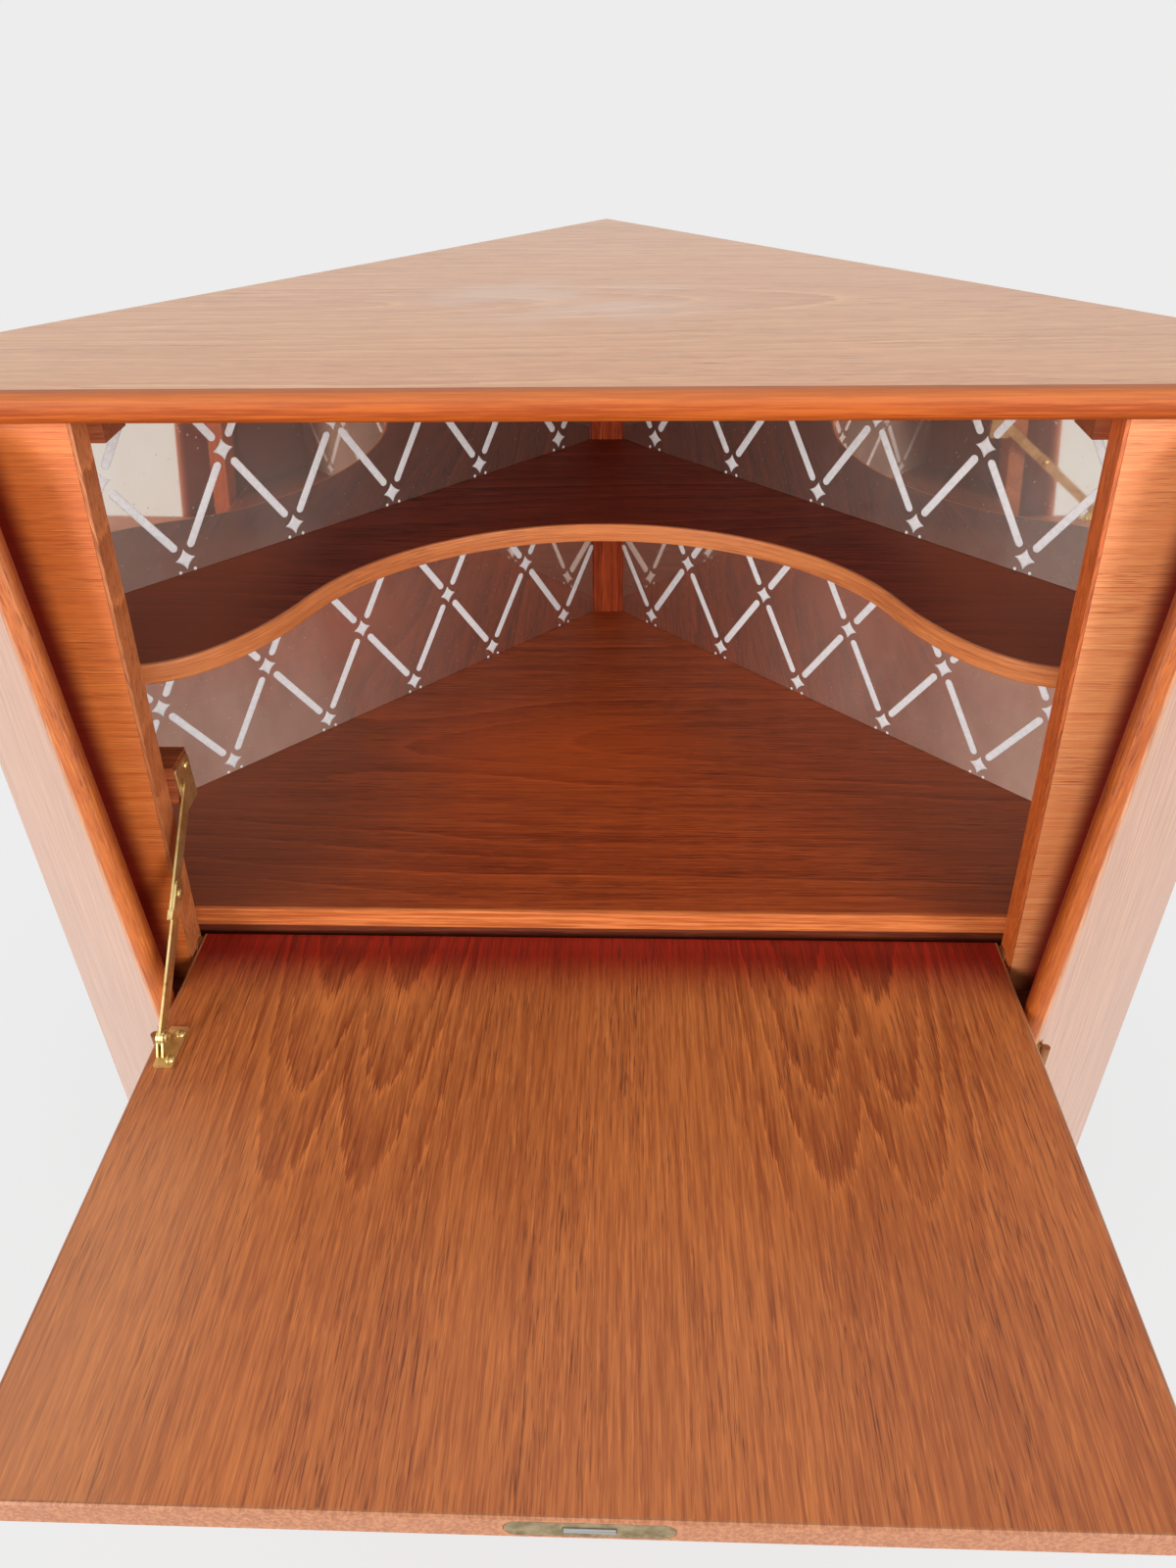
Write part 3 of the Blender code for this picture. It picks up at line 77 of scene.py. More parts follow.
class Feed:
    """A socket in a finish. Sums with it and plain numbers, on either side, add Math nodes."""

    def __init__(self, recipe, socket):
        self.recipe, self.socket = recipe, socket

    def __add__(self, other):
        return self.recipe.math("ADD", self, other)

    def __sub__(self, other):
        return self.recipe.math("SUBTRACT", self, other)

    def __rsub__(self, other):
        return self.recipe.math("SUBTRACT", other, self)

    def __mul__(self, other):
        return self.recipe.math("MULTIPLY", self, other)

    def __pow__(self, other):
        return self.recipe.math("POWER", self, other)

    def __abs__(self):
        return self.recipe.math("ABSOLUTE", self)

    __radd__ = __add__
    __rmul__ = __mul__

    def rise(self, low, high):
        """0 below low, 1 above high, and a smooth step between them."""
        return self.recipe.add("ShaderNodeMapRange", {"interpolation_type": "SMOOTHSTEP"},
                               {0: self, 1: low, 2: high, 3: 0.0, 4: 1.0})


class Recipe:
    """The nodes of one finish, ending in a Principled surface, or those of a given world."""

    def __init__(self, name, world=None, **sockets):
        self.finish = world or bpy.data.materials.new(name)
        self.finish.use_nodes = True
        self.tree = self.finish.node_tree
        self.tree.nodes.clear()
        self.end = self.tree.nodes.new("ShaderNodeOutputWorld" if world else "ShaderNodeOutputMaterial")
        if not world:
            self.skin = self.add("ShaderNodeBsdfPrincipled", {}, sockets)
            self.join(self.end.inputs[0], self.skin)

    def join(self, socket, value):
        """Links the socket to a Feed, or sets it to a plain value."""
        if isinstance(value, Feed):
            self.tree.links.new(value.socket, socket)
        else:
            socket.default_value = value

    def add(self, kind, settings, sockets, out=0):
        """A node of this kind: its settings first, then a value or a link for each named socket."""
        node = self.tree.nodes.new(kind)
        for key, value in settings.items():
            setattr(node, key, value)
        for key, value in sockets.items():
            self.join(node.inputs[key], value)
        return Feed(self, node.outputs[out])

    def place(self):
        """Where a point of the piece is, in metres in the object's own frame."""
        return self.add("ShaderNodeTexCoord", {}, {}, OWN_FRAME)

    def split(self, place):
        """The three coordinates of a place."""
        return [Feed(self, out) for out in
                self.add("ShaderNodeSeparateXYZ", {}, {0: place}).socket.node.outputs]

    def give(self, **sockets):
        """Feeds the surface, with _ in a socket's name standing for a space."""
        for key, value in sockets.items():
            self.join(self.skin.socket.node.inputs[key.replace("_", " ")], value)

    def blend(self, first, second, share):
        """Between two colours."""
        return self.add("ShaderNodeMix", {"data_type": "RGBA"}, {0: share, 6: first, 7: second}, 2)

    def math(self, operation, *values):
        """One Math node on the values."""
        return self.add("ShaderNodeMath", {"operation": operation}, dict(enumerate(values)))

    def vector(self, operation, *values):
        """One Vector Math node on the values, which may be colours."""
        return self.add("ShaderNodeVectorMath", {"operation": operation}, dict(enumerate(values)))

    def cloud(self, place, stretch, detail=2.0, rough=0.5):
        """Noise from 0 to 1 that is stretched by a factor along each axis."""
        return self.add("ShaderNodeTexNoise", {}, {"Vector": self.vector("MULTIPLY", place, stretch),
                                                   "Scale": 1.0, "Detail": detail, "Roughness": rough})

    def relief(self, height, strength, depth):
        """Bump from a height, where a height of 1 stands for the depth in metres."""
        self.give(Normal=self.add("ShaderNodeBump", {}, {"Height": height, "Strength": strength,
                                                         "Distance": depth}))


def shade(red, green, blue):
    """A colour from its 0 to 255 values on a screen, made linear."""
    value = np.array((red, green, blue)) / 255.0
    return (*np.where(value < 0.04045, value / 12.92, ((value + 0.055) / 1.055) ** 2.4).tolist(), 1.0)


SURROUND = shade(237, 237, 237)
AMBIENT = 0.55
FLOOR_REACH = 30.0
SHADOW_SHARE = 0.18  # how much of the floor's own shading shows under the cabinet
SHADOW_REACH = (0.5, 1.6)
LAMP_SIZE = 1.5
LAMP_AIM = (0.0, 0.0, 0.9)


def seen(recipe):
    """1 for rays from the camera, and for those that come off gloss or through glass."""
    path = recipe.add("ShaderNodeLightPath", {}, {}).socket.node
    direct, gloss, clear = (Feed(recipe, path.outputs[n]) for n in
                            ("Is Camera Ray", "Is Glossy Ray", "Is Transmission Ray"))
    return recipe.math("MAXIMUM", direct, recipe.math("MAXIMUM", gloss, clear))


room = Recipe("pale_floor", Roughness=0.8)
away = room.add("ShaderNodeVectorMath", {"operation": "LENGTH"}, {0: room.place()}, 1)
room.give(Base_Color=SURROUND)
glow = room.add("ShaderNodeEmission", {}, {"Color": SURROUND, "Strength": 1.0})
fade = seen(room) * ((1 - SHADOW_SHARE) + SHADOW_SHARE * away.rise(*SHADOW_REACH))
room.join(room.end.inputs[0], room.add("ShaderNodeMixShader", {}, {0: fade, 1: room.skin, 2: glow}))
ground = bpy.data.meshes.new("floor")
corners = np.array([(-1, -1, 0), (1, -1, 0), (1, 1, 0), (-1, 1, 0)]) * FLOOR_REACH
ground.from_pydata(corners.tolist(), [], [(0, 1, 2, 3)])
ground.materials.append(room.finish)
floor = bpy.data.objects.new("floor", ground)
bpy.context.scene.collection.objects.link(floor)

surround = bpy.data.worlds.new("surround")
bpy.context.scene.world = surround
sky = Recipe("surround", surround)
tone = sky.blend((AMBIENT, AMBIENT, AMBIENT, 1.0), SURROUND, seen(sky))
sky.join(sky.end.inputs[0], sky.add("ShaderNodeBackground", {}, {"Color": tone, "Strength": 1.0}))


def lamp(name, place, power):
    """A soft square lamp at a place, turned to face the cabinet's upper part."""
    light = bpy.data.objects.new(name, bpy.data.lights.new(name, "AREA"))
    light.data.size, light.data.energy = LAMP_SIZE, power
    ray = np.subtract(LAMP_AIM, place) / np.linalg.norm(np.subtract(LAMP_AIM, place))
    side = np.cross(ray, (0.0, 0.0, 1.0))
    side /= np.linalg.norm(side)
    stand = np.identity(4)
    stand[:3, 0], stand[:3, 1], stand[:3, 2], stand[:3, 3] = side, np.cross(side, ray), -ray, place
    light.matrix_world = Matrix(stand)
    bpy.context.scene.collection.objects.link(light)


lamp("left_lamp", (-2.4, -3.0, 2.0), 96.0)
lamp("right_lamp", (2.4, -3.0, 2.0), 88.0)


# Top board. Veneered from side to side, with a faint painted sheen left of the middle: a pale patch that
# stands in for reflected light. A solid bull-nosed lipping, its upper half painted paler as a highlight,
# is joined on across the front along a fine line.
CORNER = 0.50746
JAG_DEPTH = 0.0045
FLAME_REACH = (0.072, 0.105)
PORE_DEPTH = 0.0004


def laid(grain, spread):
    """The turn that brings the grain's direction to X and the direction across the board to Y."""
    grain = np.array(grain) / np.linalg.norm(grain)
    depth = np.cross(grain, spread) / np.linalg.norm(np.cross(grain, spread))
    return tuple(Matrix((grain, np.cross(depth, grain), depth)).to_euler())


ACROSS = laid((1, 0, 0), (0, 1, 0))
INWARD = laid((0, 1, 0), (-1, 0, 0))
UPRIGHT = laid((0, 0, 1), (1, 0, 0))


def teak(name, pale, deep, pore, lie, centre=(0, 0, 0), flame=0.0, split=0.0, peak=0.0, taper=0.05,
         bands=90.0, bend=0.02, figure=0.5, fine=1.0, fades=None, satin=0.36, sheen=0.2, shine=0.5,
         own=False):
    """Oiled teak veneer or solid. lie turns the board so that its grain runs along the pattern's X.

    Each point gets a distance: the root of the sum of two squares, of how far it lies across from a
    heart line, and of taper times how far it lies along from peak. There is one heart line down the
    middle, leaning with the depth, or one on each side of it at flame, and split makes two of each.
    The rings are the whole numbers of that distance times bands: the wood darkens towards each ring
    and starts again behind it with a thin light line. bend is how far drift moves the rings, jag
    frays them fibre by fibre, and figure is how strongly they show. Fibres, flecks and dark pores lie
    on top, closer together as fine grows. Where fades gives two places along the grain, the rings
    show fully beyond the second, and fade out towards the first and away from the tips. satin is the
    roughness, sheen the share of a clear coat of oil, shine the specular level, and own takes the
    pattern from the piece's UV map.
    """
    recipe = Recipe(name)
    recipe.give(Coat_Weight=sheen, Coat_Roughness=0.22, Specular_IOR_Level=shine)
    here = recipe.add("ShaderNodeUVMap", {}, {}) if own else recipe.place()
    place = recipe.vector("SUBTRACT", here, tuple(centre))
    place = recipe.add("ShaderNodeMapping", {}, {"Vector": place, "Rotation": lie})
    along, across, depth = recipe.split(place)
    drift = recipe.cloud(place, (1.6, 5.0, 5.0), 2.0) - 0.5
    jag = recipe.cloud(place, (14.0, 560.0, 560.0), 2.0, 0.6) - 0.5
    off = abs(across) - flame if flame else across + 0.9 * depth
    off = abs(off) - split if split else off
    tip = (along - peak) * taper
    heart = (off * off + tip * tip) ** 0.5 + bend * drift + JAG_DEPTH * jag
    line = recipe.add("ShaderNodeCombineXYZ", {},
                      {0: heart * bands * 0.4, 1: along * 0.9, 2: depth * 9.0})
    swell = recipe.cloud(line, (1.0, 1.0, 1.0), 3.0, 0.6)
    phase = heart * bands + 3.0 * swell
    saw = recipe.math("FRACT", phase)
    dusk, glint = swell.rise(0.3, 0.62), swell.rise(0.42, 0.6)
    if fades:
        clear = along.rise(*fades) * (1 - heart.rise(*FLAME_REACH))
        dusk, glint = clear + 0.3 * dusk * (1 - clear), clear + 0.3 * glint * (1 - clear)
    dusk = dusk * saw.rise(0.2, 1.0)
    glint = glint * (1 - saw.rise(0.03, 0.2))
    fibre = recipe.cloud(place, (10.0, 380.0 * fine, 380.0 * fine), 4.0, 0.7)
    fleck = recipe.cloud(place, (36.0, 720.0 * fine, 720.0 * fine), 1.0).rise(0.57, 0.69)
    tone = recipe.cloud(place, (1.2, 7.0, 7.0), 2.0)
    dash = recipe.cloud(place, (30.0, 900.0 * fine, 900.0 * fine), 2.0, 0.6).rise(0.55, 0.66)
    dash = dash * (0.35 + 0.65 * recipe.cloud(place, (4.0, 22.0, 22.0), 2.0).rise(0.4, 0.6))
    wood = recipe.blend(pale, deep, 0.05 + figure * dusk + 0.6 * fibre.rise(0.34, 0.66))
    wood = recipe.blend(wood, deep, tone.rise(0.52, 0.26) * 0.4)
    bright = tuple(min(1.0, 1.35 * part) for part in pale[:3]) + (1.0,)
    wood = recipe.blend(wood, bright, 1.1 * figure * glint + 0.35 * fleck)
    wood = recipe.blend(wood, pore, dash * (0.35 + 0.6 * fibre))
    recipe.give(Roughness=satin + 0.16 * dash + 0.14 * tone)
    recipe.relief(fibre * 0.5 - dash, 0.35, PORE_DEPTH)
    recipe.along, recipe.across, recipe.depth, recipe.turned = along, across, depth, place
    recipe.wood, recipe.fibre = wood, fibre
    recipe.give(Base_Color=wood)
    return recipe


def dress(finish, *nodes):
    """Gives CAD nodes their finish, in their own material slots."""
    for node in nodes:
        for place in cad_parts[node].material_slots:
            place.material = finish


TOP_MIDDLE = (0.02, 0.16, 1.24)
NOSE_JOINT = -0.0595
JOINT_HALF = (0.0002, 0.0007)
WOOD_CHANGE = 0.0004
SHEEN_PATCH_LEFT = 0.05
SHEEN_PATCH_REACH = (0.05, 0.17)

top = teak("top_teak", shade(236, 170, 112), shade(212, 136, 78), shade(156, 90, 50), ACROSS,
           centre=TOP_MIDDLE, peak=-0.35, taper=0.12, bands=70.0, bend=0.03, satin=0.30, shine=0.25)
edge = top.blend(shade(190, 94, 32), shade(156, 66, 16), top.fibre.rise(0.36, 0.62))
# The upper half of the bull nose is painted paler: a painted highlight.
edge = top.blend(edge, shade(214, 136, 86), 0.4 * top.depth.rise(-0.004, 0.006))
inward = top.across + TOP_MIDDLE[1]
joint = 1 - abs(inward - NOSE_JOINT).rise(*JOINT_HALF)
veneered = inward.rise(NOSE_JOINT, NOSE_JOINT + WOOD_CHANGE)
# A pale oval left of the middle is painted sheen, standing in for light reflected off the top.
ringed = ((top.along + SHEEN_PATCH_LEFT) ** 2 + (top.across * 1.6) ** 2) ** 0.5
painted_sheen = (1 - ringed.rise(*SHEEN_PATCH_REACH)) * top.cloud(top.turned, (9.0, 16.0, 9.0), 3.0).rise(0.36, 0.6)
veneer = top.blend(top.wood, shade(236, 206, 190), 0.4 * painted_sheen)
top.give(Base_Color=top.blend(top.blend(edge, veneer, veneered), shade(120, 60, 34), joint * 0.4),
         Coat_Weight=0.55 * veneered, Roughness=0.5 - 0.18 * veneered)
dress(top.finish, "top_panel")

# Side boards. Solid-nosed boards square to the walls, their grain running up the leaning nose. Their
# outer faces carry a pale painted glare, and painted shade darkens their inner sides beside the stiles.
LEAN = 0.149
HALF_WIDTH = 0.5
BOARD_T = 0.019
FLAT_FACE = 0.0009
ROOT2 = np.sqrt(2.0)

# The right and left boards are given different colours, which stand in for the different light on each
# side.
for side, turn, solid in (("right", 1, (shade(188, 98, 28), shade(150, 62, 12))),
                          ("left", -1, (shade(200, 112, 46), shade(162, 72, 22)))):
    board = teak(f"side_teak_{side}", *solid, shade(112, 44, 18),
                 laid((turn * LEAN, LEAN, 1), (turn, 1, 0)), centre=(turn * 0.33, -0.15, 0.8), taper=0.0,
                 bend=0.004, figure=0.3)
    low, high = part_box(f"side_panel_{side}")
    place = board.place()
    x, y, _ = board.split(place)
    straw = board.cloud(place, (420.0, 420.0, 9.0), 4.0, 0.7)
    # A pale colour painted on the outer face, standing in for glare.
    painted_glare = board.blend(shade(218, 152, 98), shade(172, 102, 56), straw.rise(0.34, 0.68))
    streak = board.cloud(place, (9.0, 9.0, 1.4), 3.0).rise(0.4, 0.7)
    painted_glare = board.blend(painted_glare, shade(190, 120, 70), streak)
    # through is a point's place on a line square to the board, and outer is the board's outer face.
    outer = (max(abs(low[0]), abs(high[0])) - CORNER + HALF_WIDTH) / ROOT2
    through = (turn * x - y) * (1 / ROOT2)
    flat = through.rise(outer - 2 * FLAT_FACE, outer - FLAT_FACE)
    # Painted shade darkens the board's inner side beside the stile.
    painted_shade_nook = 1 - through.rise(outer - BOARD_T, outer - BOARD_T / 2)
    board_with_painted_light = board.blend(board.blend(board.wood, shade(112, 26, 8), 0.7 * painted_shade_nook), painted_glare, 0.85 * flat)
    board.give(Base_Color=board_with_painted_light, Coat_Weight=0.1 + 0.9 * flat)
    dress(board.finish, f"side_panel_{side}")

# Stiles. Front uprights behind the noses, veneered across so that their grain lies level, each with
# a thin upright lipping of solid teak on its inner edge. A dark band of painted shadow lies beside the
# nose, and the right stile's veneer is painted paler than the left for the stronger light on that side.
INNER_FACE = 0.4653
SHADOW_BAND = (0.019, 0.038)

for side, turn, veneer, solid in (
        ("right", 1, (shade(248, 164, 104), shade(226, 126, 72)),
         (shade(216, 110, 48), shade(170, 76, 28))),
        ("left", -1, (shade(234, 134, 64), shade(204, 94, 36)),
         (shade(206, 126, 74), shade(168, 92, 48)))):
    stile = teak(f"stile_veneer_{side}", *veneer, shade(130, 46, 18), ACROSS,
                 centre=(turn * 0.37, 0, 1.0 + 0.03 * turn), taper=0.02, bend=0.01, figure=0.3,
                 fine=2.4, sheen=0.05)
    x, y, _ = stile.split(stile.place())
    beside = INNER_FACE + y - turn * x  # 0 at the side board, and more towards the lipping
    # Painted shadow: the stile is darkened beside the nose, where the nose shades it.
    painted_shadow = stile.vector("MULTIPLY", stile.wood, (0.22, 0.045, 0.05))
    stile.give(Base_Color=stile.blend(painted_shadow, stile.wood, beside.rise(*SHADOW_BAND)))
    dress(stile.finish, f"stile_{side}")
    strip = teak(f"stile_lipping_{side}", *solid, shade(112, 52, 28),
                 laid((turn * LEAN, LEAN, 1), (turn, 1, 0)), centre=(turn * 0.333, 0, 1.0), taper=0.0,
                 bend=0.004, sheen=0.05)
    dress(strip.finish, f"stile_lipping_{side}")

# Bar floor and the rails under it. Dark oiled veneer from side to side, warmer left of the middle, with
# its ends painted browner as a painted reflection, and a light lipping that shows as one clean line
# across the front.
BAR_MIDDLE = (0.06, 0.19, 0.82)
BAR_FRONT = -0.0607
BAR_LIP = 0.0035
REFLECTION_ENDS = (0.14, 0.36)

bar = teak("bar_floor_teak", shade(182, 84, 35), shade(108, 37, 14), shade(62, 20, 9), ACROSS,
           centre=BAR_MIDDLE, peak=0.45, taper=0.1, bands=45.0, bend=0.05, figure=0.30,
           sheen=0.0, shine=0.3, satin=0.44)
inward = bar.across + BAR_MIDDLE[1]
edge = bar.blend(shade(226, 132, 72), shade(178, 88, 40), bar.fibre.rise(0.36, 0.62))
# The ends are painted browner and greyer: a painted reflection.
painted_shading = bar.blend(bar.wood, shade(128, 74, 50), 0.45 * abs(bar.along + 0.02).rise(*REFLECTION_ENDS))
warm = 1 - ((bar.along + 0.12) ** 2 + (bar.across * 2) ** 2).rise(0.0, 0.04)
painted_shading = bar.blend(painted_shading, shade(196, 84, 24), 0.35 * warm)
veneered = inward.rise(BAR_FRONT + BAR_LIP, BAR_FRONT + BAR_LIP + WOOD_CHANGE)
bar.give(Base_Color=bar.blend(edge, painted_shading, veneered))
dress(bar.finish, "bar_floor")
dark = teak("rail_teak", shade(120, 54, 30), shade(84, 32, 18), shade(54, 20, 12), ACROSS, sheen=0.0)
dress(dark.finish, "hinge_rail", "front_rail")

# Backs. Thin plywood panels, one along each wall, on the back edges of the boards. They reach from the
# bottom board up to the top, behind the mirrors, and are bare on the wall side.
for side, turn in (("right", 1), ("left", -1)):
    ply = teak(f"ply_{side}", shade(206, 170, 126), shade(184, 142, 98), shade(150, 108, 70),
               laid((0, 0, 1), (turn, -1, 0)), centre=(turn * 0.25, 0.26, 0.7), taper=0.12,
               bands=34.0, satin=0.55)
    dress(ply.finish, f"back_panel_{side}")

# Mirrors. Silvered glass in two tiers, standing on the bar floor and on the shelf before the backs.
# A pale veil dulls it towards the outer ends, more so and pinker in the lower tier, and old wiping marks
# vary its gloss.
TIER_CHANGE = (1.015, 1.03)

silver = Recipe("silvered_glass")
place = silver.place()
haze = silver.cloud(place, (9.0, 9.0, 4.0), 4.0, 0.6)
speck = silver.cloud(place, (420.0, 420.0, 420.0), 1.0).rise(0.72, 0.80)
wipe = silver.cloud(place, (30.0, 30.0, 130.0), 3.0)
x, _, z = silver.split(place)
low_tier = 1 - z.rise(*TIER_CHANGE)
# The silver is veiled pale and made less metallic towards the outer ends.
pale_veil = abs(x).rise(0.10, 0.46) * (0.5 + 0.5 * haze.rise(0.35, 0.7))
veil_tint = silver.blend(shade(240, 234, 224), shade(240, 206, 186), low_tier)
silver.give(Base_Color=silver.blend(shade(230, 206, 190), veil_tint, pale_veil),
            Roughness=0.008 + 0.012 * wipe + 0.02 * pale_veil + 0.03 * low_tier + 0.3 * speck,
            Metallic=0.95 - pale_veil * (0.22 + 0.28 * low_tier) - 0.04 * wipe)
dress(silver.finish, "mirror_lower_left", "mirror_lower_right", "mirror_upper_left",
      "mirror_upper_right")

# Mirror lattice. White rods and four-pointed stars in a thin coat on the face of the glass, in the
# traditional crossed pattern. The rods stop short of the stars and end at the glass edges.
MIRROR_CORNER = CORNER - 0.01032
FIRST_NODE = 0.073
NODE_SPAN = 0.1082
NODE_RISE = 0.083
FIRST_RISE = 0.0122
ROD_HALF = 0.0036
ROD_START = 0.0112
STAR_TIP = 0.0092
ROD_MARGIN = 0.0003
ROD_SHORTEST = 0.0015
PAINT_RISE = 0.00022
GLASS_SPAN = (0.006, 0.676)
LATTICE_COLUMNS = 7
LATTICE_ROWS = 6
SUNK = -0.3  # the coat's underside, in shares of its rise, just within the glass
TIP_ROUNDING = 0.14
ROD_END_STEPS = 5
ROD_SIDES = 12
STAR_SIDES = 40


def on_glass(side, along, height, proud):
    """Places on a wall's mirror: along is the distance from the corner line and proud the distance out
    of the glass, and both run at 45 degrees to the cabinet's own axes."""
    return np.stack((side * (along - proud) / ROOT2,
                     MIRROR_CORNER - (along + proud) / ROOT2, height), -1)


def grid_faces(copies, rows, columns, around):
    """Quads between neighbours in each copy of a grid whose columns close into a ring if around."""
    first = np.arange(rows - 1)[:, None] * columns
    here = np.arange(columns if around else columns - 1)[None, :]
    after = (here + 1) % columns
    quads = np.stack((first + here, first + after, first + columns + after, first + columns + here), -1)
    return (np.arange(copies)[:, None, None] * rows * columns + quads.reshape(1, -1, 4)).reshape(-1, 4)


def make_piece(name, points, faces, finish, body="carcass", smooth=True, uv=None):
    """A piece from its points and quads, riding on a body: doubles merged at poles and seams, faces
    turned outwards. uv holds each point's place in the pattern."""
    mesh = bpy.data.meshes.new(name)
    mesh.from_pydata(points.reshape(-1, 3).tolist(), [], faces.tolist())
    if uv is not None:
        layer = mesh.uv_layers.new(name="along")
        order = np.empty(len(mesh.loops), int)
        mesh.loops.foreach_get("vertex_index", order)
        layer.data.foreach_set("uv", uv.reshape(-1, 2)[order].ravel())
    work = bmesh.new()
    work.from_mesh(mesh)
    bmesh.ops.remove_doubles(work, verts=work.verts, dist=1e-6)
    bmesh.ops.recalc_face_normals(work, faces=work.faces)
    work.to_mesh(mesh)
    work.free()
    mesh.polygons.foreach_set("use_smooth", np.full(len(mesh.polygons), smooth))
    mesh.materials.append(finish)
    piece = bpy.data.objects.new(name, mesh)
    bpy.context.scene.collection.objects.link(piece)
    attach(piece, body)
    return piece


def clip(start, way, low, high):
    """How far a ray may run before its coordinate leaves low..high, as a pair of distances."""
    first, last = (low - start) / way, (high - start) / way
    return np.minimum(first, last), np.maximum(first, last)


def lattice_rods(side, bottom, tall):
    """Rods from every even row's nodes to their four neighbours.

    A rod is a half round carried along its line: its half width grows with the sine of an angle
    over each round end, and its height over the glass with the sine round the section.
    """
    reach = np.hypot(NODE_SPAN / 2, NODE_RISE)
    node, row, left, up = (a.ravel() for a in np.meshgrid(
        np.arange(LATTICE_COLUMNS), np.arange(0, LATTICE_ROWS, 2), (-1, 1), (-1, 1), indexing="ij"))
    way = np.stack((left * NODE_SPAN / 2, up * NODE_RISE), -1) / reach
    start = np.stack((FIRST_NODE + node * NODE_SPAN, FIRST_RISE + row * NODE_RISE), -1)
    side_in, side_out = clip(start[:, 0], way[:, 0], *GLASS_SPAN)
    low_in, low_out = clip(start[:, 1], way[:, 1], ROD_MARGIN, tall - ROD_MARGIN)
    begin = np.maximum(np.maximum(side_in, low_in), ROD_START)
    end = np.minimum(np.minimum(side_out, low_out), reach - ROD_START)
    kept = end - begin > ROD_SHORTEST
    start, way, begin, end = start[kept], way[kept], begin[kept], end[kept]
    bend = np.linspace(0, np.pi / 2, ROD_END_STEPS)
    fill = np.minimum(ROD_HALF, (end - begin) / 2)[:, None]
    run = np.concatenate((begin[:, None] + fill * (1 - np.cos(bend)),
                          (end[:, None] - fill * (1 - np.cos(bend)))[:, ::-1]), 1)
    wide = np.concatenate((fill * np.sin(bend), (fill * np.sin(bend))[:, ::-1]), 1)
    ring = np.linspace(0, 2 * np.pi, ROD_SIDES, endpoint=False)
    offset = wide[..., None] * np.cos(ring)
    plane = (start[:, None, None] + way[:, None, None] * run[..., None, None]
             + np.stack((-way[:, 1], way[:, 0]), -1)[:, None, None] * offset[..., None])
    proud = PAINT_RISE * np.maximum(np.sin(ring), SUNK) * np.ones_like(offset)
    points = on_glass(side, plane[..., 0], bottom + plane[..., 1], proud)
    return points, grid_faces(len(points), run.shape[1], len(ring), True)


def lattice_stars(side, bottom, tall):
    """Four-pointed stars on every node. The rim is an astroid, whose two plan coordinates are the cubes
    of the cosine and the sine of an angle, rounded a little at the tips, and the face is a shallow
    dome."""
    node, row = (a.ravel() for a in np.meshgrid(
        np.arange(LATTICE_COLUMNS), np.arange(LATTICE_ROWS), indexing="ij"))
    along = FIRST_NODE + node * NODE_SPAN + np.where(row % 2, -NODE_SPAN / 2, 0)
    height = FIRST_RISE + row * NODE_RISE
    kept = (along > STAR_TIP) & (along < GLASS_SPAN[1]) & (height < tall - STAR_TIP)
    along, height = along[kept], height[kept]
    turn = np.linspace(0, 2 * np.pi, STAR_SIDES, endpoint=False)
    wide, high = ((1 - TIP_ROUNDING) * f(turn) ** 3 + TIP_ROUNDING * f(turn) for f in (np.sin, np.cos))
    share = np.array((0.0, 0.35, 0.7, 1.0, 1.0, 0.0))
    rise = np.array((1.1, 1.05, 0.8, 0.3, SUNK, SUNK)) * PAINT_RISE
    flat = along[:, None, None] + STAR_TIP * share[:, None] * wide
    points = on_glass(side, flat, bottom + height[:, None, None] + STAR_TIP * share[:, None] * high,
                      rise[:, None] * np.ones_like(flat))
    return points, grid_faces(len(points), len(share), len(turn), True)


etched = Recipe("lattice_white")
mottle = etched.cloud(etched.place(), (260.0, 260.0, 260.0), 3.0)
etched.give(Base_Color=etched.blend(shade(252, 254, 255), shade(238, 242, 244), mottle.rise(0.35, 0.7)),
            Roughness=0.5 + 0.2 * mottle)
etched.relief(mottle, 0.2, 0.0001)
for tier in ("lower", "upper"):
    for side, turn in (("left", -1), ("right", 1)):
        low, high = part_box(f"mirror_{tier}_{side}")
        rods, rod_quads = lattice_rods(turn, low[2], high[2] - low[2])
        stars, star_quads = lattice_stars(turn, low[2], high[2] - low[2])
        make_piece(f"lattice_rods_{tier}_{side}", rods, rod_quads, etched.finish)
        make_piece(f"lattice_stars_{tier}_{side}", stars, star_quads, etched.finish)

# Corner posts. A narrow upright strip of teak over the mirrors' joint in each tier. The upper one is
# paler under the top.
PALER_FROM = (1.10, 1.22)

post = teak("post_teak", shade(196, 86, 44), shade(140, 50, 22), shade(78, 26, 12), UPRIGHT, taper=0.02,
            sheen=0.0, shine=0.2)
post.give(Base_Color=post.blend(post.wood, shade(220, 130, 84), 0.4 * post.along.rise(*PALER_FROM)))
dress(post.finish, "corner_post_lower", "corner_post_upper")

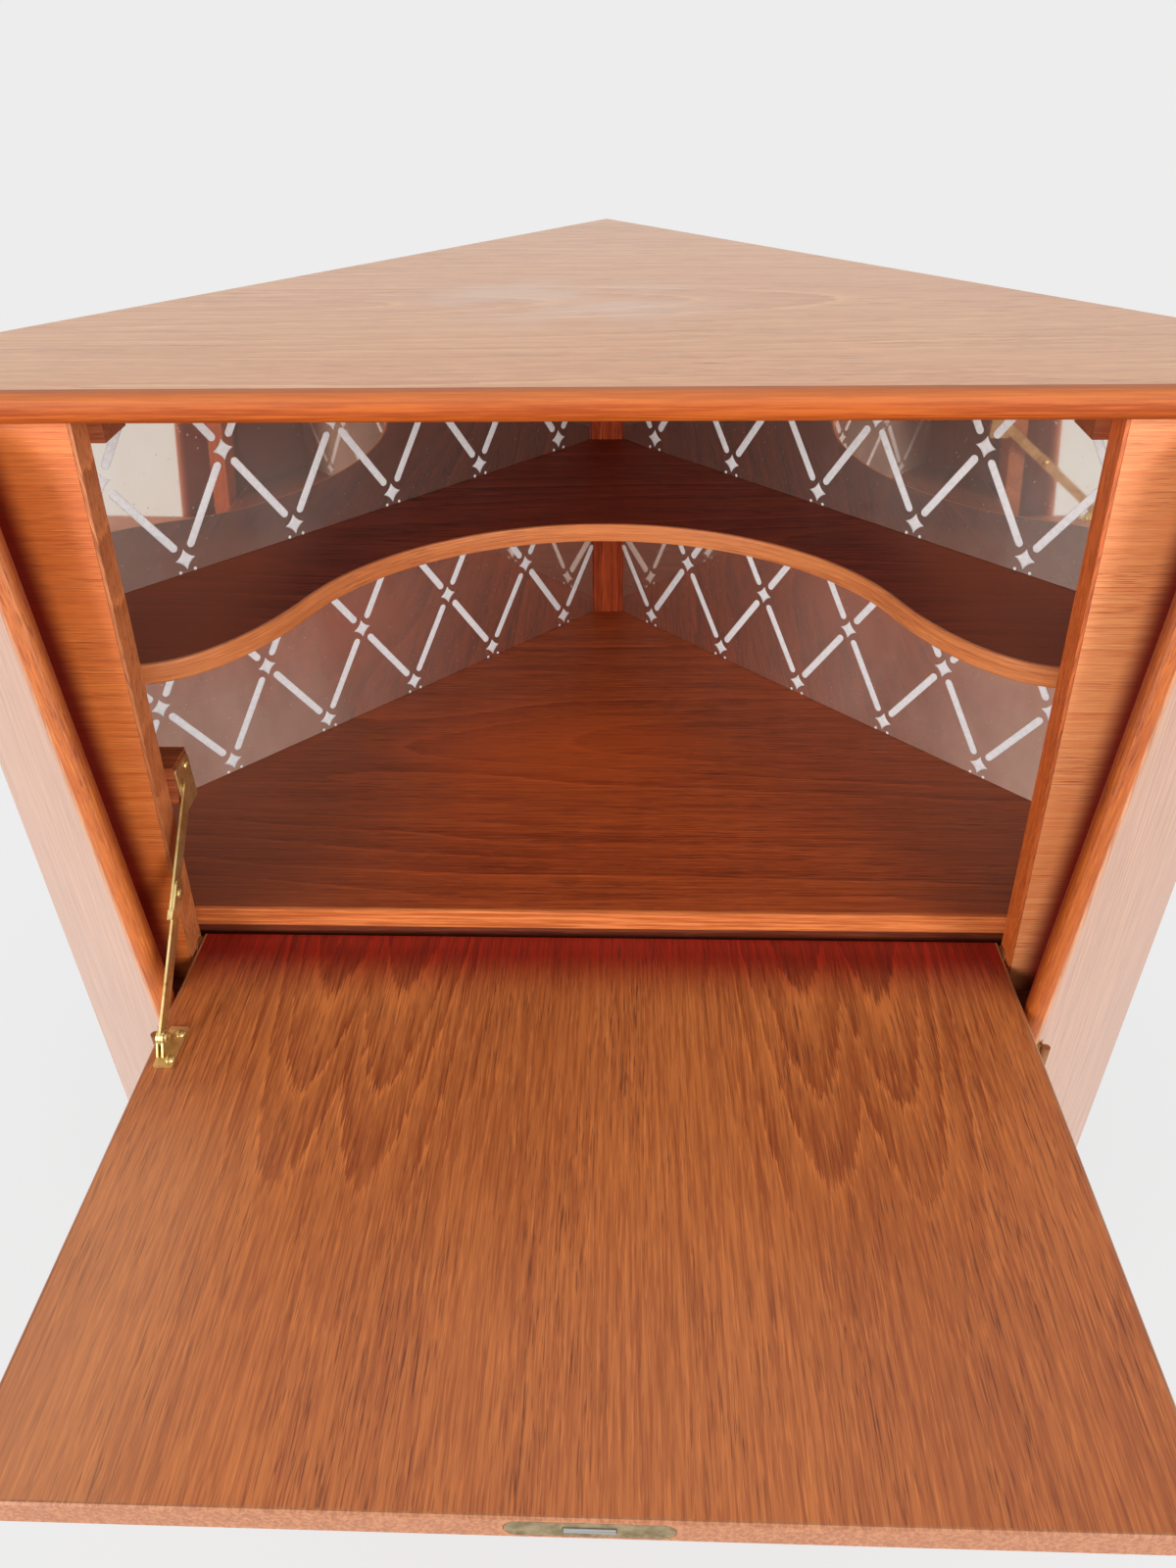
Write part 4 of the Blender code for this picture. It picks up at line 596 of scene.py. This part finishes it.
# Serpentine shelf. A dark veneered board between the mirror tiers, its ends painted browner as a painted
# sheen, with a light solid lipping bent along its hollow-and-full front edge and eased on both arrises.
SHELF_TOP = 1.0303
SHELF_T = 0.017
SHELF_LIP = 0.0032
SHELF_EASE = 0.0014
SHELF_MIDDLE = (0.1, 0.2, 1.03)
TURN_AT = np.array((0.482, -0.832))  # where the front edge goes from hollow to full
TURN_WAY = np.array((np.cos(np.radians(70)), -np.sin(np.radians(70))))
SHELF_LINE = HALF_WIDTH * np.array((
    (0.0, -0.528), (0.234, -0.528), TURN_AT - 0.172 * TURN_WAY, TURN_AT, TURN_AT + 0.124 * TURN_WAY,
    (0.610, -1.062), (0.702, -1.062)))
SEAT_GAP = 0.0003
BACK_T = 0.004
BETWEEN = 2 * HALF_WIDTH - ROOT2 * (BOARD_T + SEAT_GAP)
BEHIND = (BACK_T + SEAT_GAP) * ROOT2
STRAIGHT_STEPS = 24
BEND_STEPS = 40
EASE_STEPS = 5
WING_STEPS = 8
DEPTH_STEPS = 5
SHEEN_WINGS = (0.23, 0.32)


def bent(points, steps):
    """A curve from the first point to the last, pulled by the two between. Their shares in each place
    are the terms of the cube of the sum of a share t and the rest of 1."""
    t = np.linspace(0, 1, steps)[:, None]
    start, pull, hold, end = points
    return (start * (1 - t) ** 3 + 3 * pull * (1 - t) ** 2 * t
            + 3 * hold * (1 - t) * t ** 2 + end * t ** 3)


# The lipping is its section carried along the front edge: to each place on the edge, the section adds
# its first part along the outward way there, and its second to the height.
half = np.concatenate((bent(SHELF_LINE[:4], BEND_STEPS)[:-1], bent(SHELF_LINE[3:], BEND_STEPS)))
limit = BETWEEN + SHELF_LINE[-1, 1]
out = np.linspace(SHELF_LINE[-1, 0], limit - SEAT_GAP, STRAIGHT_STEPS)[1:]
half = np.concatenate((half, np.stack((out, np.full_like(out, SHELF_LINE[-1, 1])), -1)))
line = np.concatenate((half[:0:-1] * (-1, 1), half))
slope = np.gradient(line, axis=0)
slope /= np.linalg.norm(slope, axis=1)[:, None]
outward = np.stack((slope[:, 1], -slope[:, 0]), -1)
run = np.concatenate(((0.0,), np.cumsum(np.linalg.norm(np.diff(line, axis=0), axis=1))))
ease = np.linspace(0, np.pi / 2, EASE_STEPS)
above, below = -SHELF_EASE * (1 - np.sin(ease)), -SHELF_EASE * (1 - np.cos(ease))
section = np.concatenate((
    ((-SHELF_LIP, 0.0),), np.stack((above, below), -1), np.stack((below, -SHELF_T - above), -1),
    ((-SHELF_LIP, -SHELF_T),), ((-SHELF_LIP, 0.0),)))
edge_plan = line[:, None] + outward[:, None] * section[None, :, :1]
edge_points = np.concatenate((edge_plan, SHELF_TOP + np.broadcast_to(
    section[None, :, 1:], (len(line), len(section), 1))), -1) + (0, CORNER, 0)
girth = np.concatenate(((0.0,), np.cumsum(np.linalg.norm(np.diff(section, axis=0), axis=1))))
edge_uv = np.stack(np.broadcast_arrays(run[:, None], girth[None, :]), -1)
lip = teak("shelf_lipping_teak", shade(216, 138, 82), shade(184, 100, 54), shade(132, 66, 36),
           ACROSS, taper=0.02, figure=0.25, sheen=0.0, shine=0.3, own=True)
make_piece("shelf_lipping", edge_points, grid_faces(1, len(line), len(section), False), lip.finish,
           uv=edge_uv)

# The board runs from the back of the lipping, and from the side boards beyond its ends, to the backs:
# each place is a share of the way straight back, once at the upper face and once at the lower.
inner = line - outward * SHELF_LIP
wings = np.linspace(limit, (BETWEEN - BEHIND) / 2, WING_STEPS)[1:]
wing = np.stack((wings, wings - BETWEEN), -1)
front = np.concatenate((wing[::-1] * (-1, 1), inner, wing))
back = np.stack((front[:, 0], -np.abs(front[:, 0]) - BEHIND), -1)
share = np.linspace(0, 1, DEPTH_STEPS)[None, :, None]
plan = front[:, None] * (1 - share) + back[:, None] * share
plan = np.concatenate((plan, plan[:, ::-1]), 1)
rise = np.repeat((SHELF_TOP, SHELF_TOP - SHELF_T), share.size)
slab = np.concatenate((plan, np.broadcast_to(rise[None, :, None], (*plan.shape[:2], 1))), -1)
inside = teak("shelf_teak", shade(122, 48, 26), shade(76, 22, 14), shade(40, 12, 9), ACROSS,
              centre=SHELF_MIDDLE, peak=0.5, taper=0.1, bands=60.0, bend=0.04, sheen=0.0, shine=0.12,
              satin=0.5)
# The board's ends are painted lighter and browner: a painted sheen.
painted_sheen_ends = 0.7 * abs(inside.along + SHELF_MIDDLE[0]).rise(*SHEEN_WINGS)
inside.give(Base_Color=inside.blend(inside.wood, shade(142, 74, 46), painted_sheen_ends))
shelf = make_piece("shelf_board", slab + (0, CORNER, 0), grid_faces(1, *plan.shape[:2], True),
                   inside.finish, smooth=False)
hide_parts("shelf")

# Small wood. Stop blocks under the top behind the stiles, and the block behind the left stile that
# carries the stay.
block = teak("block_teak", shade(166, 88, 46), shade(124, 56, 28), shade(80, 34, 20), ACROSS, taper=0.03,
             sheen=0.0)
dress(block.finish, "stop_block_left", "stop_block_right", "stay_block")

# Stay and flap fittings. Sheet brass with turned rivets and slotted screws, dulled and scuffed in
# patches. The pins that the flap turns on have browned.
brass = Recipe("stay_brass", Metallic=0.86)
place = brass.place()
dull = brass.cloud(place, (55.0, 55.0, 55.0), 4.0, 0.65)
scuff = brass.cloud(place, (240.0, 900.0, 240.0), 2.0)
tarnish = brass.cloud(place, (140.0, 140.0, 140.0), 3.0).rise(0.58, 0.76)
metal = brass.blend(shade(240, 214, 150), shade(206, 174, 104), dull.rise(0.35, 0.7))
brass.give(Base_Color=brass.blend(metal, shade(128, 96, 50), tarnish * 0.5),
           Roughness=0.22 + 0.14 * dull + 0.12 * scuff)
brass.relief(scuff, 0.15, 0.0001)
dress(brass.finish, "stay_bracket", "stay_upper_arm", "stay_upper_rivet", "stay_lower_arm",
      "stay_joint_rivet", "stay_eye_pin", "stay_flap_bracket")
browned = Recipe("browned_brass", Metallic=0.6)
patina = browned.cloud(browned.place(), (60.0, 60.0, 25.0), 3.0)
browned.give(Base_Color=browned.blend(shade(178, 122, 70), shade(140, 88, 48), patina.rise(0.35, 0.65)),
             Roughness=0.4 + 0.2 * patina)
browned.relief(patina, 0.2, 0.0002)
dress(browned.finish, "flap_pivot_left", "flap_pivot_right")

SCREW_R = 0.0038
SCREW_RISE = 0.0019
SHANK_R = 0.0017
SLOT_HALF = 0.00045
SLOT_WALL = 0.00006
SLOT_DEPTH = 0.0009
SHANK_IN_HEAD = 0.0002
HEAD_CHORDS = 8
CHORD_POINTS = 21
SHANK_SIDES = 16


def slotted_screw(node, axis, body):
    """A slotted screw in its CAD node's place. The head is rows of chords side by side: its height falls
    from the middle with the square and the sixth power of the distance, less a slot down the middle
    row. The shank is a circle carried along the axis."""
    low, high = (np.array(end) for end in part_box(node))
    rows = np.concatenate(((SLOT_HALF, SLOT_HALF + SLOT_WALL),
                           np.linspace(0.3, 1.0, HEAD_CHORDS) * SCREW_R))
    rows = np.concatenate((-rows[::-1], rows))
    half_chord = np.sqrt(np.maximum(SCREW_R ** 2 - rows ** 2, 0))[:, None]
    long = half_chord * np.linspace(-1, 1, CHORD_POINTS)
    wide = rows[:, None] * np.ones_like(long)
    out = (long ** 2 + wide ** 2) / SCREW_R ** 2
    rise = SCREW_RISE * (1 - 0.5 * out - 0.5 * out ** 3)
    rise = np.maximum(rise - np.where(np.abs(wide) <= SLOT_HALF, SLOT_DEPTH, 0), 0)
    head = np.stack((np.concatenate((wide, wide[:, ::-1]), 1), np.concatenate((long, long[:, ::-1]), 1),
                     np.concatenate((rise, np.zeros_like(rise)), 1)), -1)
    turn = np.linspace(0, 2 * np.pi, SHANK_SIDES, endpoint=False)
    radius = np.array((0.0, SHANK_R, SHANK_R, 0.0))[:, None]
    tip = low[axis] - high[axis] + SCREW_RISE
    deep = np.array((tip, tip, SHANK_IN_HEAD, SHANK_IN_HEAD))[:, None]
    shank = np.stack((radius * np.cos(turn), radius * np.sin(turn), deep * np.ones_like(turn)), -1)
    points = np.concatenate((head.reshape(-1, 3), shank.reshape(-1, 3)))
    points = points if axis == 2 else points[:, ::-1]
    seat = (low + high) / 2
    seat[axis] = high[axis] - SCREW_RISE
    faces = np.concatenate((grid_faces(1, len(rows), head.shape[1], True),
                            grid_faces(1, len(radius), len(turn), True) + head.size // 3))
    piece = make_piece(f"{node}_slotted", points + seat, faces, brass.finish, body,
                       smooth=False)
    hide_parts(node)


slotted_screw("stay_flap_screw_front", 2, "flap")
slotted_screw("stay_flap_screw_rear", 2, "flap")
slotted_screw("stay_block_screw", 0, "carcass")

# Flap. Two matched leaves of veneer, their grain running out from the hinge and their flames left and
# right of the middle, with a thin lipping round the edges. The inner face carries painted shade beside
# the hinge and a pale painted sheen at its left end.
FLAP_HALF = 0.330
FLAP_REACH = 0.3674
FLAP_LIP = 0.0028
LIP_CHANGE = 0.0003
MATCH_LINE = 0.006
FLAP_INSIDE = (-0.012, -0.007)
VEIL_ACROSS = (0.18, 0.31)
VEIL_ALONG = (-0.18, -0.06)
HINGE_SHADE_ALONG = (-0.004, 0.058)

flap = teak("flap_teak", shade(204, 118, 58), shade(140, 63, 25), shade(84, 30, 12), INWARD,
            centre=(MATCH_LINE, -0.14, 0.8), flame=0.186, split=0.0285, peak=0.72, taper=0.075,
            bands=140.0, bend=0.008, figure=0.38, fades=(-0.21, -0.12), satin=0.38, sheen=0.15)
inner = flap.depth.rise(*FLAP_INSIDE)  # 1 on the face that is inside when the flap is shut
# A pale painted sheen lightens the inner face's left end.
painted_veil = 0.3 * inner * flap.across.rise(*VEIL_ACROSS) * (1 - flap.along.rise(*VEIL_ALONG))
painted_veil_wood = flap.blend(flap.wood, shade(222, 158, 110), painted_veil)
# Painted shade darkens the inner face beside the hinge.
painted_shading = flap.vector("MULTIPLY", flap.wood, (0.5, 0.05, 0.08))
faced = flap.blend(painted_veil_wood, painted_shading, inner * flap.along.rise(*HINGE_SHADE_ALONG))
ends = abs(flap.across - MATCH_LINE).rise(FLAP_HALF - FLAP_LIP, FLAP_HALF - FLAP_LIP + LIP_CHANGE)
front = (0 - flap.along).rise(FLAP_REACH - FLAP_LIP, FLAP_REACH - FLAP_LIP + LIP_CHANGE)
rim = flap.math("MAXIMUM", ends, front)
edge = flap.blend(shade(184, 120, 78), shade(156, 92, 54), flap.fibre.rise(0.36, 0.62))
flap.give(Base_Color=flap.blend(faced, edge, rim))
dress(flap.finish, "flap_panel")

# Lock. A dull brass plate let into the flap's free edge, with a steel bolt and case behind it, a brass
# key and keyhole lining in the outer face, and a strike plate under the top.
plate = Recipe("lock_brass", Metallic=1.0)
dull = plate.cloud(plate.place(), (90.0, 300.0, 90.0), 4.0, 0.65)
plate.give(Base_Color=plate.blend(shade(188, 168, 128), shade(142, 120, 84), dull.rise(0.35, 0.7)),
           Roughness=0.34 + 0.2 * dull)
plate.relief(dull, 0.2, 0.0001)
dress(plate.finish, "lock_plate", "lock_key", "keyhole_lining", "strike_plate")
steel = Recipe("bolt_steel", Metallic=1.0)
drawn = steel.cloud(steel.place(), (30.0, 400.0, 900.0), 3.0)
steel.give(Base_Color=steel.blend(shade(206, 206, 208), shade(160, 160, 162), drawn.rise(0.3, 0.7)),
           Roughness=0.25 + 0.2 * drawn)
steel.relief(drawn, 0.2, 0.0001)
dress(steel.finish, "lock_bolt", "lock_case", "catch_plate_left", "catch_plate_right")

# Lower doors. Veneered upright, hung on long browned brass hinges along bevelled edges, with turned
# pulls. Steel plates on their backs meet one black double magnetic catch in the middle.
for side, turn in (("left", -1), ("right", 1)):
    door = teak(f"door_teak_{side}", shade(204, 118, 66), shade(162, 82, 42), shade(100, 44, 24),
                UPRIGHT, centre=(turn * 0.18, 0, 0.5), taper=0.06)
    dress(door.finish, f"door_{side}")
    dress(door.finish, f"door_pull_{side}")
dress(browned.finish, "door_hinge_left", "door_hinge_right", "door_hinge_leaf_left",
      "door_hinge_leaf_right")
catch = Recipe("catch_plastic")
grainy = catch.cloud(catch.place(), (900.0, 900.0, 900.0), 2.0)
catch.give(Base_Color=catch.blend(shade(46, 46, 48), shade(62, 61, 60), grainy),
           Roughness=0.45 + 0.2 * grainy)
catch.relief(grainy, 0.3, 0.0001)
dress(catch.finish, "door_catch")

# Lower cupboard. Bottom board and one shelf, both housed between the side boards and veneered dark as
# the bar floor is.
cupboard = teak("cupboard_teak", shade(130, 64, 38), shade(92, 40, 22), shade(60, 24, 14), ACROSS)
dress(cupboard.finish, "bottom_board", "lower_shelf")

# Legs. Five turned legs under the bottom board, two in front, one at each side and one in the corner.
# Each has a collar and tapers to the foot, and its grain runs down it.
leg = teak("leg_teak", shade(190, 104, 58), shade(148, 74, 38), shade(94, 40, 22), UPRIGHT, taper=0.02)
dress(leg.finish, "leg_front_left", "leg_front_right", "leg_side_left", "leg_side_right", "leg_corner")
